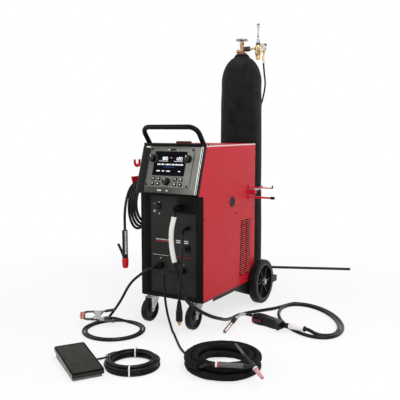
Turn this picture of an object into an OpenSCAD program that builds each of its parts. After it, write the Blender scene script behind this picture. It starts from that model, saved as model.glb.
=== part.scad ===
// Multi-process wire welder on a wheeled cart, with gas bottle, leads and hand tools.
// Millimetres. X runs to the right of the cabinet, Y to its rear, Z up from the floor.
// Coordinates inside the modules count from the floor point under the middle of the front edge
// of the cabinet; place() moves them to the centre of the whole outfit.

/* [Cabinet] */
// Width of the cabinet over its side sheets
case_w = 380; // [360:1:420]
// Depth of the cabinet from front edge to rear sheet
case_d = 575; // [560:1:600]
// Height of the top sheet above the floor
case_top = 927; // [915:1:950]
// Height of the underside of the base pan above the floor
base_z = 140; // [139:1:144]
// Thickness of the folded case sheet
sheet_t = 2; // [1.5:0.5:3]
// Thickness of the base pan and undercarriage plate
pan_t = 4; // [3:1:6]
// Depth of the front bezel ahead of the side sheets
bezel_lip = 6; // [4:1:10]
// Depth of the recessed connection panel behind the front edge
panel_recess = 15; // [10:1:20]
// Clearance round the side door
door_gap = 1; // [0.8:0.1:1.5]
// Number of ventilation slots in each column
louvre_count = 27; // [16:1:28]
// Spacing of the ventilation slots
louvre_pitch = 11.6; // [11:0.2:12]

/* [Control head] */
// Lean of the control face back from upright, in degrees
head_lean = 17.9; // [14:0.1:20]
// Length of the control face along its slope
head_face = 250; // [240:1:258]
// Depth of the head housing
head_depth = 26; // [24:1:28]
// Distance that the bottom of the control face stands ahead of the front edge
head_reach = 70; // [66:1:74]
// Thickness of the control fascia
fascia_t = 4; // [3:0.5:5]
// Width of the display window
display_w = 186; // [160:1:190]
// Height of the display window
display_h = 121; // [100:1:124]
// Diameter of each rotary knob
knob_d = 36; // [30:1:38]
// Length of each rotary knob
knob_l = 20; // [14:1:26]
// Width of each push button
button_w = 18; // [14:1:20]
// Height of each push button
button_h = 16; // [12:1:18]
// Distance that each button stands proud of the fascia
button_proud = 3; // [2.5:0.5:4]

/* [Handle] */
// Diameter of the handle tube
handle_d = 25; // [22:1:28]
// Distance between the tube centres of the two handle legs
handle_w = 326; // [300:1:330]
// Length of the handle from its foot to the grip centre, along its lean
handle_l = 117; // [100:1:140]
// Forward lean of the handle from upright, in degrees
handle_lean = 39; // [25:1:45]
// Bend radius of the handle corners at the tube centre
handle_bend = 45; // [40:1:60]

/* [Running gear] */
// Diameter of the swivel caster wheels
caster_d = 127; // [120:1:127]
// Width of the swivel caster wheels
caster_w = 32; // [28:1:34]
// Distance from the swivel axis forward to the caster axle
caster_trail = 33; // [28:1:36]
// Distance of each caster's swivel axis from the side of the cabinet
caster_inset = 55; // [50:1:65]
// Diameter of the rear wheels
wheel_d = 254; // [240:1:256]
// Width of the rear wheels
wheel_w = 50; // [44:1:52]
// Gap between the side of the cabinet and each rear wheel
wheel_gap = 6; // [4:1:14]
// Diameter of the rear axle
axle_d = 16; // [14:1:20]
// Running clearance between a shaft and its bore, on the radius
shaft_gap = 0.05; // [0.03:0.01:0.09]
// Free gap between pieces that move past each other
run_gap = 0.4; // [0.3:0.1:0.6]

/* [Gas bottle] */
// Diameter of the steel gas bottle
bottle_d = 235; // [225:1:238]
// Height of the bottle from its foot to the top of its neck ring
bottle_h = 1397; // [1300:1:1420]
// Wall of the fabric bottle cover
cover_t = 4; // [3:1:6]
// Diameter of the valve handwheel
handwheel_d = 76; // [60:1:84]
// Height of the flow tube
flow_tube_l = 112; // [90:1:130]
// Wire diameter of the bottle chain
chain_wire = 5; // [4:0.5:5.5]
// Inside length of one chain link
chain_pitch = 27; // [25:0.5:28]

/* [Leads] */
// Diameter of the wire gun cable
mig_cable_d = 18; // [16:1:20]
// Diameter of the torch lead between the cabinet and its sleeve
tig_lead_d = 12; // [10:1:14]
// Diameter of the sleeved torch cable
tig_sleeve_d = 30; // [26:1:30]
// Diameter of the work and electrode cables
work_cable_d = 14; // [12:1:16]
// Diameter of the foot control cord
pedal_cord_d = 9.5; // [8:0.5:10]
// Diameter of the mains cord
power_cord_d = 18; // [16:1:20]
// Diameter of the gas hose
gas_hose_d = 10; // [8:1:12]

/* [Hidden] */
$fn = 48;

// From the front edge of the cabinet to the middle of the outfit
origin_x = 168.84;
origin_y = 52.49;
// Half widths, face heights and other sizes that follow from the driving ones
half_w = case_w / 2;
inner_w = half_w - sheet_t;
caster_x = half_w - caster_inset;
wheel_x = half_w + wheel_gap;
pan_top = base_z + pan_t;
bezel_back = panel_recess + 15;
head_foot_z = case_top - head_face * cos(head_lean);
head_back_y = head_depth * cos(head_lean) - head_reach;
head_back_z = head_foot_z - head_depth * sin(head_lean);
head_top_y = head_face * sin(head_lean) - head_reach + head_depth / cos(head_lean);
throat_z = 676;
caster_axle_y = -5;
swivel_y = caster_axle_y + caster_trail;
fork_top = base_z - pan_t - run_gap;
// Head of the kingpin, sunk into the fork from below
race_d = 18;
race_h = 2;
race_drop = 4.6;
wheel_axle_y = case_d + 31;
wheel_axle_z = wheel_d / 2;
deck_z = 60;
deck_back = case_d + 335;
bottle_y = case_d + 195;
bottle_z = deck_z + pan_t;
neck_z = bottle_z + bottle_h;
flow_x = 107;

// Features of the control face, from its lower middle
face_cx = 6;
display_z = 155;
knob_x = 106;
knob_z = 180;
select_z = 62;
button_x = [-82, -50, 50, 82];
button_z = [76, 50];

// Features of the connection panel: sideways and height
gun_port = [47, 612];
switch_at = [-84, 611];
spare_at = [89, 406];
work_at = [-72, 304];
torch_at = [62, 288];
remote_at = [42, 330];
lead_exit_at = [92, 511];
socket_r = 6.75;
socket_d = 36;

// Side door opening and hinge
door_y = [205, case_d - 21];
door_z = [300, 880];
hinge_y = case_d - 18;
hinge_x = -half_w - 4.5;
divider_x = half_w - 92;
shelf_z = 286;
spool_at = [0, case_d - 125, 710];
drive_y = case_d - 360;
gun_bore_d = 28.6;
gun_pin_d = 28;
chain_x = half_w - 25;
chain_z = 655;

module place() translate([-origin_x, -origin_y, 0]) children();

// The leaning control face: X across, Z up the slope, Y into the housing
module on_face() place() translate([0, -head_reach, head_foot_z]) rotate([-head_lean, 0, 0]) children();

module round_rect(w, h, r) {
    square([w, h - 2 * r], center = true);
    square([w - 2 * r, h], center = true);
    for (x = [-1, 1], y = [-1, 1]) translate([x * (w / 2 - r), y * (h / 2 - r)]) circle(r);
}

// Upright plate with rounded corners, facing the front, its front at y = 0
module face_plate(w, h, t, r) translate([0, t, 0]) rotate([90, 0, 0]) linear_extrude(t) round_rect(w, h, r);

// Outline in the side view (Y, Z), given width along X
module side_sheet(x, w) translate([x, 0, 0]) rotate([90, 0, 90]) linear_extrude(w) children();

module rod_x(d, l) rotate([0, 90, 0]) cylinder(d = d, h = l);
module rod_y(d, l) rotate([-90, 0, 0]) cylinder(d = d, h = l);

// Ring about the Z axis, cut from a plain tube
module ring(d_out, d_in, h) difference() {
    cylinder(d = d_out, h = h);
    translate([0, 0, -1]) cylinder(d = d_in, h = h + 2);
}

// ---- Cords: smooth routes through chosen points, and tubes swept along them

function unit(v) = v / norm(v);
function mix3(a, b, c, d, t) = 0.5 * (2 * b + (c - a) * t + (2 * a - 5 * b + 4 * c - d) * t * t
    + (3 * b - a - 3 * c + d) * t * t * t);
// Route raised where it would sink into the floor
function settled(p, d) = [for (q = p) [q[0], q[1], max(q[2], d / 2)]];
// Routes beside and behind the cabinet, moved with its sides and its rear sheet
function beside(p) = [for (q = p) q - [half_w - 190, 0, 0]];
function behind(p) = [for (q = p) q + [0, case_d - 575, 0]];
function at(p, i) = p[max(0, min(i, len(p) - 1))];
function smooth(p, steps) = concat([for (i = [0 : len(p) - 2], k = [0 : steps - 1])
    mix3(at(p, i - 1), p[i], p[i + 1], at(p, i + 2), k / steps)], [p[len(p) - 1]]);
function tangents(p) = [for (i = [0 : len(p) - 1]) unit(at(p, i + 1) - at(p, i - 1))];
function square_to(n, t) = unit(n - (n * t) * t);
function normals(t) = [for (i = 0, n = square_to([0.02, 0.03, 1], t[0]); i < len(t); i = i + 1,
    n = i < len(t) ? square_to(n, t[i]) : n) n];

module tube(p, d, sides) {
    t = tangents(p);
    n = normals(t);
    rim = [for (i = [0 : len(p) - 1], k = [0 : sides - 1]) let(a = 360 * k / sides)
        p[i] + d / 2 * (cos(a) * n[i] + sin(a) * cross(t[i], n[i]))];
    wall = [for (i = [0 : len(p) - 2], k = [0 : sides - 1], half = [0, 1])
        let(a = i * sides + k, b = i * sides + (k + 1) % sides)
        half == 0 ? [a, a + sides, b] : [b, a + sides, b + sides]];
    first = [[for (k = [0 : sides - 1]) k]];
    last = [[for (k = [sides - 1 : -1 : 0]) (len(p) - 1) * sides + k]];
    polyhedron(rim, concat(first, wall, last));
}

// Rings in one loop of a coil
loop_rings = 24;
// Spare room between neighbouring turns of a coil
turn_gap = 1;

function ramp(s, from) = max(0, min(1, (s - from) / 0.5));
// Radius and height of a cord piled in layers, after s turns: it spirals in and out at a
// steady rate, and climbs a layer in the half turn where the spiral reverses
function pile_r(s, r, cols, layers, pitch) = let(j = min(floor(s / cols), layers - 1))
    r - pitch * (j % 2 == 0 ? s - j * cols : (j + 1) * cols - s);
function pile_z(s, cols, layers, pitch) = pitch * (layers < 2 ? 0
    : [for (k = [1 : layers - 1]) ramp(s, k * cols - 0.25)] * [for (k = [1 : layers - 1]) 1]);
function piled(c, r, cols, layers, d, turns, start, way) = [for (i = [0 : round(loop_rings * turns)])
    let(s = i / loop_rings, a = start + way * 360 * s, rr = pile_r(s, r, cols, layers, d + turn_gap))
    [c[0] + rr * cos(a), c[1] + rr * sin(a), c[2] + pile_z(s, cols, layers, d + turn_gap)]];

// ---- Routes of the leads, points chosen by hand

mig_start = [gun_port[0] + 3, -46, gun_port[1]];
mig_points = [mig_start, [56, -62, 602], [64, -72, 578], [54, -75, 530], [48, -74, 482],
    [49, -72, 432], [56, -72, 388], [66, -72, 350], [76, -72, 308], [96, -77, 250], [125, -88, 200],
    [160, -96, 168], [190, -91, 146], [216, -62, 118], [244, -12, 86], [252, 60, 56],
    [243, 140, 28], [232, 234, 9], [238, 300, 9], [268, 370, 9], [318, 450, 9], [358, 520, 9]];
mig_loop_centre = [588, 418, 9];
mig_loop_turn = -52.8;
mig_loop_long = 292;
mig_loop_short = 164;
mig_loop_step = 20;
// Loose oval loops on the floor, from the near end of the lead to the gun
function oval(s) = let(a = 200 - 360 * s, f = mig_loop_step * s,
    x = (mig_loop_long - f) * cos(a), y = (mig_loop_short - f) * sin(a))
    mig_loop_centre + [x * cos(mig_loop_turn) - y * sin(mig_loop_turn),
    x * sin(mig_loop_turn) + y * cos(mig_loop_turn), 0];
mig_loop_turns = 1.5;
mig_loops = [for (i = [1 : loop_rings * mig_loop_turns]) oval(i / loop_rings)];
mig_tail = [[752, 222, 10], [730, 206, 13], [706, 198, 19], [684, 196, 28], [668, 195, 33], [652, 193, 34]];
mig_route = settled(concat(smooth(mig_points, 2), mig_loops, mig_tail), mig_cable_d);

tig_coil_at = [503, -350, 15.5];
tig_coil_r = 158;
tig_coil_start = 198;
tig_coil_turns = 4.15;
tig_coil_points = piled(tig_coil_at, tig_coil_r, 2, 2, tig_sleeve_d, tig_coil_turns, tig_coil_start, 1);
torch_lead_points = [[62, -32, 288], [61, -45, 289], [52, -56, 292], [34, -65, 294], [10, -67, 288], [-1, -68, 268],
    [-2, -68, 235], [2, -68, 190], [6, -68, 145], [14, -68, 100], [27, -71, 58], [48, -82, 24],
    [72, -104, 8], [100, -132, 7], [160, -200, 7], [222, -268, 7], [275, -316, 8], [316, -344, 11],
    [337, -364, 15], [343, -373, 15.5], tig_coil_points[0]];
torch_link_points = [tig_coil_points[len(tig_coil_points) - 1], [466, -508.7, 47.5], [482, -513, 52], [499, -517, 61], [516, -518, 70], [531, -513, 73.8]];

work_start = [work_at[0], -42, work_at[1]];
work_points = [work_start, [-76, -58, 303], [-90, -72, 297], [-112, -80, 284], [-140, -88, 262],
    [-170, -96, 236], [-196, -100, 206], [-216, -102, 176], [-236, -105, 140], [-256, -112, 104],
    [-276, -124, 70], [-294, -134, 42], [-308, -142, 22], [-330, -160, 8], [-345, -196, 8]];
work_loop_at = [-188, -236, 8];
work_loop_r = 158;
work_loop_start = 165;
work_loop_turns = 1.75;
work_loops = [for (i = [1 : round(loop_rings * work_loop_turns)])
    let(s = i / loop_rings, a = work_loop_start + 360 * s, r = work_loop_r - (work_cable_d + 2) * s)
    work_loop_at + [r * cos(a), r * sin(a), 0]];
work_tail = [[-170, -109, 9], [-190, -117, 14], [-207, -132, 22], [-221, -149, 31], [-234, -163, 38],
    [-248, -173.5, 41.3], [-262, -182, 41.3]];
work_route = settled(concat(smooth(work_points, 2), work_loops, work_tail), work_cable_d);

pedal_coil_at = [160, -548, 5];
pedal_coil_r = 119;
pedal_coil_start = 110;
pedal_coil_turns = 10.7;
pedal_coil_points = piled(pedal_coil_at, pedal_coil_r, 3, 4, pedal_cord_d, pedal_coil_turns, pedal_coil_start, -1);
pedal_cord_points = [[-1, -584, 10], [4, -575, 10], [8, -558, 8], [6, -535, 5], [-2, -508, 5], [1, -480, 5],
    [16, -459, 5], [42, -450, 5], [75, -447, 5], [109, -440.2, 5], pedal_coil_points[0]];

hank_top = [-half_w - 13.5, 65, 724];
hank_loops = 4;
hank_step = 15.2;
// Loops of the electrode lead hung on the side hook, growing outwards
function hank(s) = [hank_top[0] - hank_step * s, hank_top[1] - (83 + 1.5 * s) * sin(360 * s),
    hank_top[2] - (100 + 7 * s) * (1 - cos(360 * s))];
hank_start = beside([[-210, 172, 452], [-210, 172, 466], [-208, 173, 500], [-206, 174, 560], [-204, 170, 620],
    [-203, 148, 684], [-203, 108, 716]]);
holder_at = [-half_w - 68, -53, 280];
holder_top = 202;
hank_tail = beside([[-264.5, 40, 719], [-264, 6, 697], [-262, -24, 655], [-259, -46, 600], [-258, -53, 550],
    [-258, -53, 515], [-258, -53, holder_at[2] + holder_top]]);
holder_route = concat(smooth(hank_start, 2), [for (i = [0 : loop_rings * hank_loops]) hank(i / loop_rings)],
    smooth(hank_tail, 2));

power_points = behind([[110, 603, 240], [110, 622, 238], [116, 642, 215], [134, 664, 160], [150, 690, 104],
    [155, 720, 80], [155, 760, 73.5], [155, 840, 73.5], [152, 880, 84], [149, 908, 109], [141, 938, 73],
    [127, 962, 24], [108, 986, 9], [82, 1008, 9], [50, 1029, 9]]);
power_loop_at = [-72, case_d + 570, 9];
power_loop_r = 118;
power_loop_start = 52;
power_loop_turns = 2;
power_loops = [for (i = [0 : round(loop_rings * power_loop_turns)])
    let(s = i / loop_rings, a = power_loop_start + 360 * s, r = power_loop_r - (power_cord_d + 2) * s)
    power_loop_at + [r * cos(a), r * sin(a), 0]];
power_tail = behind([[-54, 1215, 14], [-80, 1230, 25], [-106, 1243, 30], [-132, 1257, 25], [-156, 1275, 14], [-176, 1300, 9],
    [-186, 1332, 9], [-183, 1367, 9], [-166, 1394, 9], [-143, 1403, 9], [-68, 1437, 9], [40, 1486, 9],
    [170, 1545, 9], [300, 1604, 9], [413, 1655, 9], [429, 1662, 9]]);

hose_points = behind([[144, 770, 1399.5], [144, 770, 1389], [143, 775, 1370], [136, 800, 1330], [118, 850, 1270],
    [80, 893, 1180], [30, 916, 1080], [-24, 924, 980], [-76, 904, 880], [-118, 868, 780],
    [-144, 822, 690], [-146, 765, 610], [-140, 710, 540], [-124, 660, 480], [-106, 625, 435],
    [-92, 604, 412], [-88, 596, 408], [-86, 590, 408]]);

lead_points = [[lead_exit_at[0], -4.5, lead_exit_at[1]], [lead_exit_at[0] + 1, -18, 510], [101, -44, 506],
    [114, -72, 492], [124, -94, 462], [130, -106, 420], [133, -110, 370], [131, -110, 320],
    [126, -110, 270], [121, -110, 225], [118, -110, 190], [117, -110, 168]];

// ---- Undercarriage

// Side plate that carries the axle and the bottle deck, as an outline in (Y, Z)
module axle_plate() polygon([[case_d - 240, base_z], [case_d - 223, base_z - 20], [case_d - 55, deck_z],
    [deck_back, deck_z], [deck_back, deck_z + 36], [case_d + 127, deck_z + 36], [case_d + 67, base_z + 32],
    [case_d + 0.5, base_z + 32], [case_d + 0.5, base_z + strip_h], [case_d - 3, base_z + strip_h], [case_d - 3, base_z]]);

module base_frame() color("dimgray") place() difference() {
    union() {
        // Base pan with turned-up sides
        translate([-inner_w, bezel_back, base_z]) cube([2 * inner_w, case_d - sheet_t - bezel_back, pan_t]);
        for (s = [-1, 1]) translate([s * (inner_w - 1.5) - 1.5, bezel_back, base_z]) cube([3, case_d - sheet_t - bezel_back, 30]);
        // Skid rails, open channels below the pan
        for (s = [-1, 1]) translate([s * (inner_w - 15) - 14, 105, base_z - 16]) difference() {
            cube([28, 233, 16]);
            translate([3, -1, -1]) cube([22, 235, 14]);
        }
        // Axle plates and bottle deck
        for (s = [-1, 1]) side_sheet(s * (inner_w - 2.5) - 2.5, 5) axle_plate();
        translate([-inner_w + 5, case_d + 15, deck_z]) cube([2 * inner_w - 10, deck_back - case_d - 20, pan_t]);
        translate([-inner_w + 5, case_d + 15, deck_z]) cube([2 * inner_w - 10, pan_t, 100]);
        translate([-inner_w + 5, deck_back - pan_t, deck_z]) cube([2 * inner_w - 10, pan_t, 36]);
        translate([-inner_w + 5, case_d - 3, 160]) cube([2 * inner_w - 10, 22, pan_t]);
        translate([-inner_w + 5, case_d - sheet_t - 1, base_z]) cube([2 * inner_w - 10, 3, strip_h]);
        // Caster mounting plates, races and kingpins
        for (s = [-1, 1]) translate([s * caster_x, swivel_y, 0]) {
            translate([-48, -26, base_z - pan_t]) cube([96, 90, pan_t]);
            translate([0, 0, fork_top - race_drop]) {
                cylinder(d = 10, h = base_z - fork_top + race_drop);
                cylinder(d = race_d, h = race_h);
            }
        }
        // Front cross member between the bezel and the pan
        translate([-inner_w, 2, base_z]) cube([2 * inner_w, bezel_back - 2, pan_t - 1]);
    }
    for (s = [-1, 1]) translate([s * inner_w - 10, wheel_axle_y, wheel_axle_z]) rod_x(axle_d, 20);
    // Lightening holes in the pan
    for (x = [-90, 0, 90], y = [180, 300, 420]) translate([x, y, base_z - 1]) cylinder(d = 50, h = pan_t + 2);
}

module rear_axle() color("silver") place() translate([0, wheel_axle_y, wheel_axle_z]) {
    translate([-(wheel_x + wheel_w + 8), 0, 0]) rod_x(axle_d, 2 * (wheel_x + wheel_w + 8));
    for (s = [-1, 1]) {
        // Thrust washers inside each wheel and push caps outside
        translate([s > 0 ? inner_w + 0.3 : -wheel_x + run_gap, 0, 0])
            rod_x(axle_d + 18, wheel_x - inner_w - 0.3 - run_gap);
        translate([s > 0 ? wheel_x + wheel_w - 4 + run_gap : -wheel_x - wheel_w - 12 + 4 - run_gap, 0, 0])
            rod_x(axle_d + 14, 8);
    }
}

// Wheel about the X axis, its inner face at x = 0
module spoked_wheel() rotate([90, 0, 90]) difference() {
    union() {
        rotate_extrude($fn = 96) difference() {
            union() {
                translate([wheel_d / 2 - 24, 6]) square([12, wheel_w - 12]);
                translate([wheel_d / 2 - 24, 0]) square([14, wheel_w]);
                translate([wheel_d / 2 - 12, 12]) square([12, wheel_w - 24]);
                for (z = [12, wheel_w - 12]) translate([wheel_d / 2 - 12, z]) circle(12, $fn = 32);
            }
            for (z = [wheel_w / 2 - 7, wheel_w / 2 + 7]) translate([wheel_d / 2, z]) square([3, 3], center = true);
        }
        // Rim, web, hub and ribs
        ring(wheel_d - 44, wheel_d - 62, wheel_w);
        translate([0, 0, wheel_w / 2 - 4]) ring(wheel_d - 60, axle_d + 10, 8);
        ring(44, axle_d - 2, wheel_w - 4);
        for (a = [0 : 60 : 359]) rotate(a) translate([18, -3, 8]) cube([wheel_d / 2 - 46, 6, wheel_w - 16]);
    }
    translate([0, 0, -1]) cylinder(d = axle_d + 2 * shaft_gap, h = wheel_w + 2);
    for (a = [30 : 60 : 359]) rotate(a) for (r = [48, 70]) translate([r, 0, -1])
        cylinder(d = r / 2.6, h = wheel_w + 2);
}

module rear_wheel(s) color("black") place()
    translate([s > 0 ? wheel_x : -wheel_x, wheel_axle_y, wheel_axle_z]) mirror([s > 0 ? 0 : 1, 0, 0]) spoked_wheel();
module rear_wheel_left() rear_wheel(-1);
module rear_wheel_right() rear_wheel(1);

module caster_fork(s) color("silver") place() translate([s * caster_x, 0, 0]) {
    difference() {
        union() {
            translate([-caster_w / 2 - 5, caster_axle_y - 14, fork_top - 7]) cube([caster_w + 10, swivel_y + 38 - caster_axle_y - 10, 4]);
            translate([0, swivel_y, fork_top - 7]) cylinder(d = 52, h = 7);
        }
        translate([0, swivel_y, fork_top - 8]) {
            cylinder(d = 10 + 2 * shaft_gap, h = 9);
            cylinder(d = race_d + 2 * run_gap, h = 8 - race_drop + race_h + run_gap);
        }
    }
    for (x = [-caster_w / 2 - 5, caster_w / 2 + 2]) side_sheet(x, 3) {
        polygon([[caster_axle_y - 14, fork_top - 4], [swivel_y + 24, fork_top - 4], [swivel_y + 20, fork_top - 26],
            [caster_axle_y + 11, caster_d / 2], [caster_axle_y - 11, caster_d / 2], [caster_axle_y - 12, fork_top - 26]]);
        translate([caster_axle_y, caster_d / 2]) circle(11);
    }
    translate([-caster_w / 2 - 9, caster_axle_y, caster_d / 2]) rod_x(8, caster_w + 18);
    for (x = [-caster_w / 2 - 9, caster_w / 2 + 5]) translate([x, caster_axle_y, caster_d / 2]) rotate([0, 90, 0]) cylinder(d = 15, h = 4, $fn = 6);
}
module caster_fork_left() caster_fork(-1);
module caster_fork_right() caster_fork(1);

module caster_wheel(s) color("black") place() translate([s * caster_x, caster_axle_y, caster_d / 2])
    rotate([90, 0, 90]) translate([0, 0, -caster_w / 2]) difference() {
        union() {
            rotate_extrude($fn = 72) {
                translate([caster_d / 2 - 16, 0]) square([8, caster_w]);
                translate([caster_d / 2 - 12, 8]) square([12, caster_w - 16]);
                for (z = [8, caster_w - 8]) translate([caster_d / 2 - 8, z]) circle(8, $fn = 32);
            }
            translate([0, 0, 6]) cylinder(d = caster_d - 28, h = caster_w - 12);
            cylinder(d = 26, h = caster_w);
        }
        translate([0, 0, -1]) cylinder(d = 8 + 2 * shaft_gap, h = caster_w + 2);
        for (z = [-1, caster_w - 9]) translate([0, 0, z]) ring(caster_d - 36, 40, 10);
    }
module caster_wheel_left() caster_wheel(-1);
module caster_wheel_right() caster_wheel(1);

// ---- Cabinet

// Side outline of the case, in (Y, Z), with the nose that carries the control head
module case_outline() polygon([[0, base_z + 5], [0, throat_z], [head_back_y, head_back_z],
    [head_top_y, case_top], [case_d, case_top], [case_d, base_z + 5]]);
module case_inside() polygon([[-1, base_z - 20], [-1, throat_z + sheet_t], [head_back_y - 40, head_back_z + sheet_t + 3.5],
    [head_top_y - 90, case_top - sheet_t], [case_d + 20, case_top - sheet_t], [case_d + 20, base_z - 20]]);

// Two columns of ventilation slots in a side sheet
module louvres() for (i = [0 : louvre_count - 1]) let(z = 505 - i * louvre_pitch)
    for (y = [case_d - 151 - i * 0.6, case_d - 93 - i * 0.2]) translate([0, y, z]) rotate([90, 0, 90]) translate([0, 0, -5])
        linear_extrude(10) round_rect(42, 4.6, 2.2);

// Bolts of the right sheet: depth and height of each
wrap_bolts = [[343, 556], [12, 565], [case_d - 13, 560], [case_d - 13, 850], [case_d - 13, 200]];
module case_wrap() color("firebrick") place() {
    difference() {
        side_sheet(-half_w, case_w) case_outline();
        side_sheet(-inner_w, 2 * inner_w) case_inside();
        translate([half_w - 1, 0, 0]) louvres();
        translate([-half_w + 1, 0, 0]) louvres_left();
        // Door opening
        translate([-half_w - 1, door_y[0], door_z[0]]) cube([sheet_t + 2, door_y[1] - door_y[0], door_z[1] - door_z[0]]);
        // Plug hole and screw holes
        translate([inner_w - 1, 301, 623]) rod_x(50, 6);
        for (p = wrap_bolts) translate([half_w - 4, p[0], p[1]]) rod_x(6, 8);
    }
    // Domed plug in the right sheet
    translate([inner_w, 301, 623]) rod_x(50, sheet_t);
    translate([half_w, 301, 623]) difference() {
        rod_x(56, 3);
        translate([1.5, 0, 0]) rod_x(34, 3);
    }
    for (p = wrap_bolts) translate([inner_w, p[0], p[1]]) {
        rod_x(6, sheet_t);
        translate([sheet_t, 0, 0]) rotate([0, 90, 0]) cylinder(d = 10, h = 2.5, $fn = 6);
    }
    // Low lifting pad on the top sheet
    translate([-115, 300, case_top]) difference() {
        linear_extrude(14) round_rect(84, 46, 12);
        translate([0, 0, 5]) linear_extrude(10) round_rect(54, 22, 8);
    }
    // Hinge knuckles and pin of the side door
    translate([hinge_x, hinge_y, 0]) {
        for (z = hinge_frame_z()) translate([0, 0, z]) {
            cylinder(d = 8, h = hinge_knuckle);
            translate([0, -2, 0]) cube([-half_w - hinge_x + 1, 5, hinge_knuckle]);
        }
        translate([0, 0, door_z[0] + 10]) cylinder(d = 4, h = door_z[1] - door_z[0] - 20);
    }
}
// Slots low in the left sheet, below the door
module louvres_left() for (i = [0 : 9]) translate([0, 360 + i * 18, 240]) rotate([90, 0, 90])
    translate([0, 0, -5]) linear_extrude(10) round_rect(5, 60, 2.4);

hinge_knuckle = 40;
hinge_pitch = 2 * (hinge_knuckle + run_gap);
function hinge_frame_z() = [for (i = [0 : 5]) door_z[0] + 30 + i * hinge_pitch + hinge_knuckle + run_gap];
function hinge_door_z() = [for (i = [0 : 6]) door_z[0] + 30 + i * hinge_pitch];

module side_door() color("firebrick") place() difference() {
    union() {
        translate([-half_w, door_y[0] + door_gap, door_z[0] + door_gap])
            cube([sheet_t, hinge_y - 8 - door_y[0] - door_gap, door_z[1] - door_z[0] - 2 * door_gap]);
        // Turned-in stiffening edges
        for (y = [door_y[0] + door_gap, hinge_y - 20]) translate([-half_w, y, door_z[0] + 14])
            cube([14, sheet_t, door_z[1] - door_z[0] - 28]);
        for (z = hinge_door_z()) translate([0, 0, z]) {
            translate([hinge_x, hinge_y, 0]) cylinder(d = 8, h = hinge_knuckle);
            translate([hinge_x, hinge_y - 8, 0]) cube([sheet_t - half_w - hinge_x, 4.5, hinge_knuckle]);
            translate([hinge_x - 2, hinge_y - 8, 0]) cube([4, 8, hinge_knuckle]);
        }
        // Finger latches
        for (z = [door_z[0] + 120, door_z[1] - 120]) translate([-half_w - 9, door_y[0] + 30, z]) {
            rod_x(34, 9);
            translate([-8, -4, -15]) cube([10, 8, 30]);
        }
    }
    translate([hinge_x, hinge_y, door_z[0]]) cylinder(d = 4 + 2 * shaft_gap, h = door_z[1] - door_z[0]);
}

strip_h = 24;
rear_h = case_top - sheet_t - base_z - strip_h - 2 * run_gap;
module rear_panel() color("dimgray") place() difference() {
    translate([0, case_d - sheet_t, base_z + strip_h + run_gap + rear_h / 2]) face_plate(2 * inner_w - 1, rear_h, sheet_t, 4);
    for (x = [-5.5 : 5.5]) translate([x * 18 - 40, case_d - 5, 720]) rotate([-90, 0, 0]) linear_extrude(10) round_rect(7, 210 - 4 * x * x, 3.4);
    translate([110, case_d - 5, 240]) rod_y(28, 10);
    translate([-86, case_d - 5, 408]) rod_y(16, 10);
    for (s = [-1, 1]) translate([s * chain_x, case_d - 5, chain_z]) rod_y(9, 10);
}

// Opening of the bezel in plan: wide at the front, drawn in at the connection panel
recess_left = -139;
recess_right = 140;
recess_z = [154, 668];
bezel_round = 8;
module bezel_edge() {
    translate([-half_w + bezel_round, 0]) square([case_w - 2 * bezel_round, bezel_lip]);
    for (s = [-1, 1]) intersection() {
        translate([s * (half_w - bezel_round), bezel_round]) circle(bezel_round);
        translate([-half_w, 0]) square([case_w, bezel_lip]);
    }
}
module front_panel() color([0.13, 0.13, 0.14]) place() {
    difference() {
        union() {
            translate([0, -bezel_lip, base_z]) linear_extrude(throat_z - base_z - 0.5) bezel_edge();
            translate([-inner_w + 0.3, -0.5, pan_top]) cube([2 * inner_w - 0.6, bezel_back - 1, throat_z - pan_top - 0.5]);
        }
        // Tapered recess
        translate([0, 0, recess_z[0]]) linear_extrude(recess_z[1] - recess_z[0])
            polygon([[recess_left - 20, -bezel_lip - 1], [recess_right + 20, -bezel_lip - 1],
                [recess_right, panel_recess], [recess_left, panel_recess]]);
        // Hollow back
        translate([-inner_w + 4, panel_recess + 3, pan_top + 4]) cube([2 * inner_w - 8, bezel_back, throat_z - pan_top - 12]);
        // Pocket and holes for the connections
        translate([83, panel_recess - 1, 624]) face_plate(108, 84, 2, 8);
        translate([gun_port[0], 0, gun_port[1]]) rod_y(46, 30);
        for (p = [spare_at, work_at, torch_at]) translate([p[0], 0, p[1]]) rod_y(socket_d - 6, 30);
        translate([remote_at[0], 0, remote_at[1]]) rod_y(16, 30);
        translate([lead_exit_at[0], 0, lead_exit_at[1]]) rod_y(16, 30);
        translate([switch_at[0], panel_recess - 1, switch_at[1]]) face_plate(22, 32, 6, 1.5);
        for (p = [[recess_left + 9, 655], [recess_right - 9, 540], [recess_left + 9, 167], [recess_right - 9, 167]])
            translate([p[0], panel_recess - 3, p[1]]) rod_y(5, 10);
        // Grooved stripe
        translate([0, panel_recess - 1, 354]) face_plate(recess_right - recess_left - 50, 3, 2, 1);
    }
    // Pivot pin of the power switch
    translate([switch_at[0] - 13, panel_recess + 1, switch_at[1]]) rod_x(3, 26);
}

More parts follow.
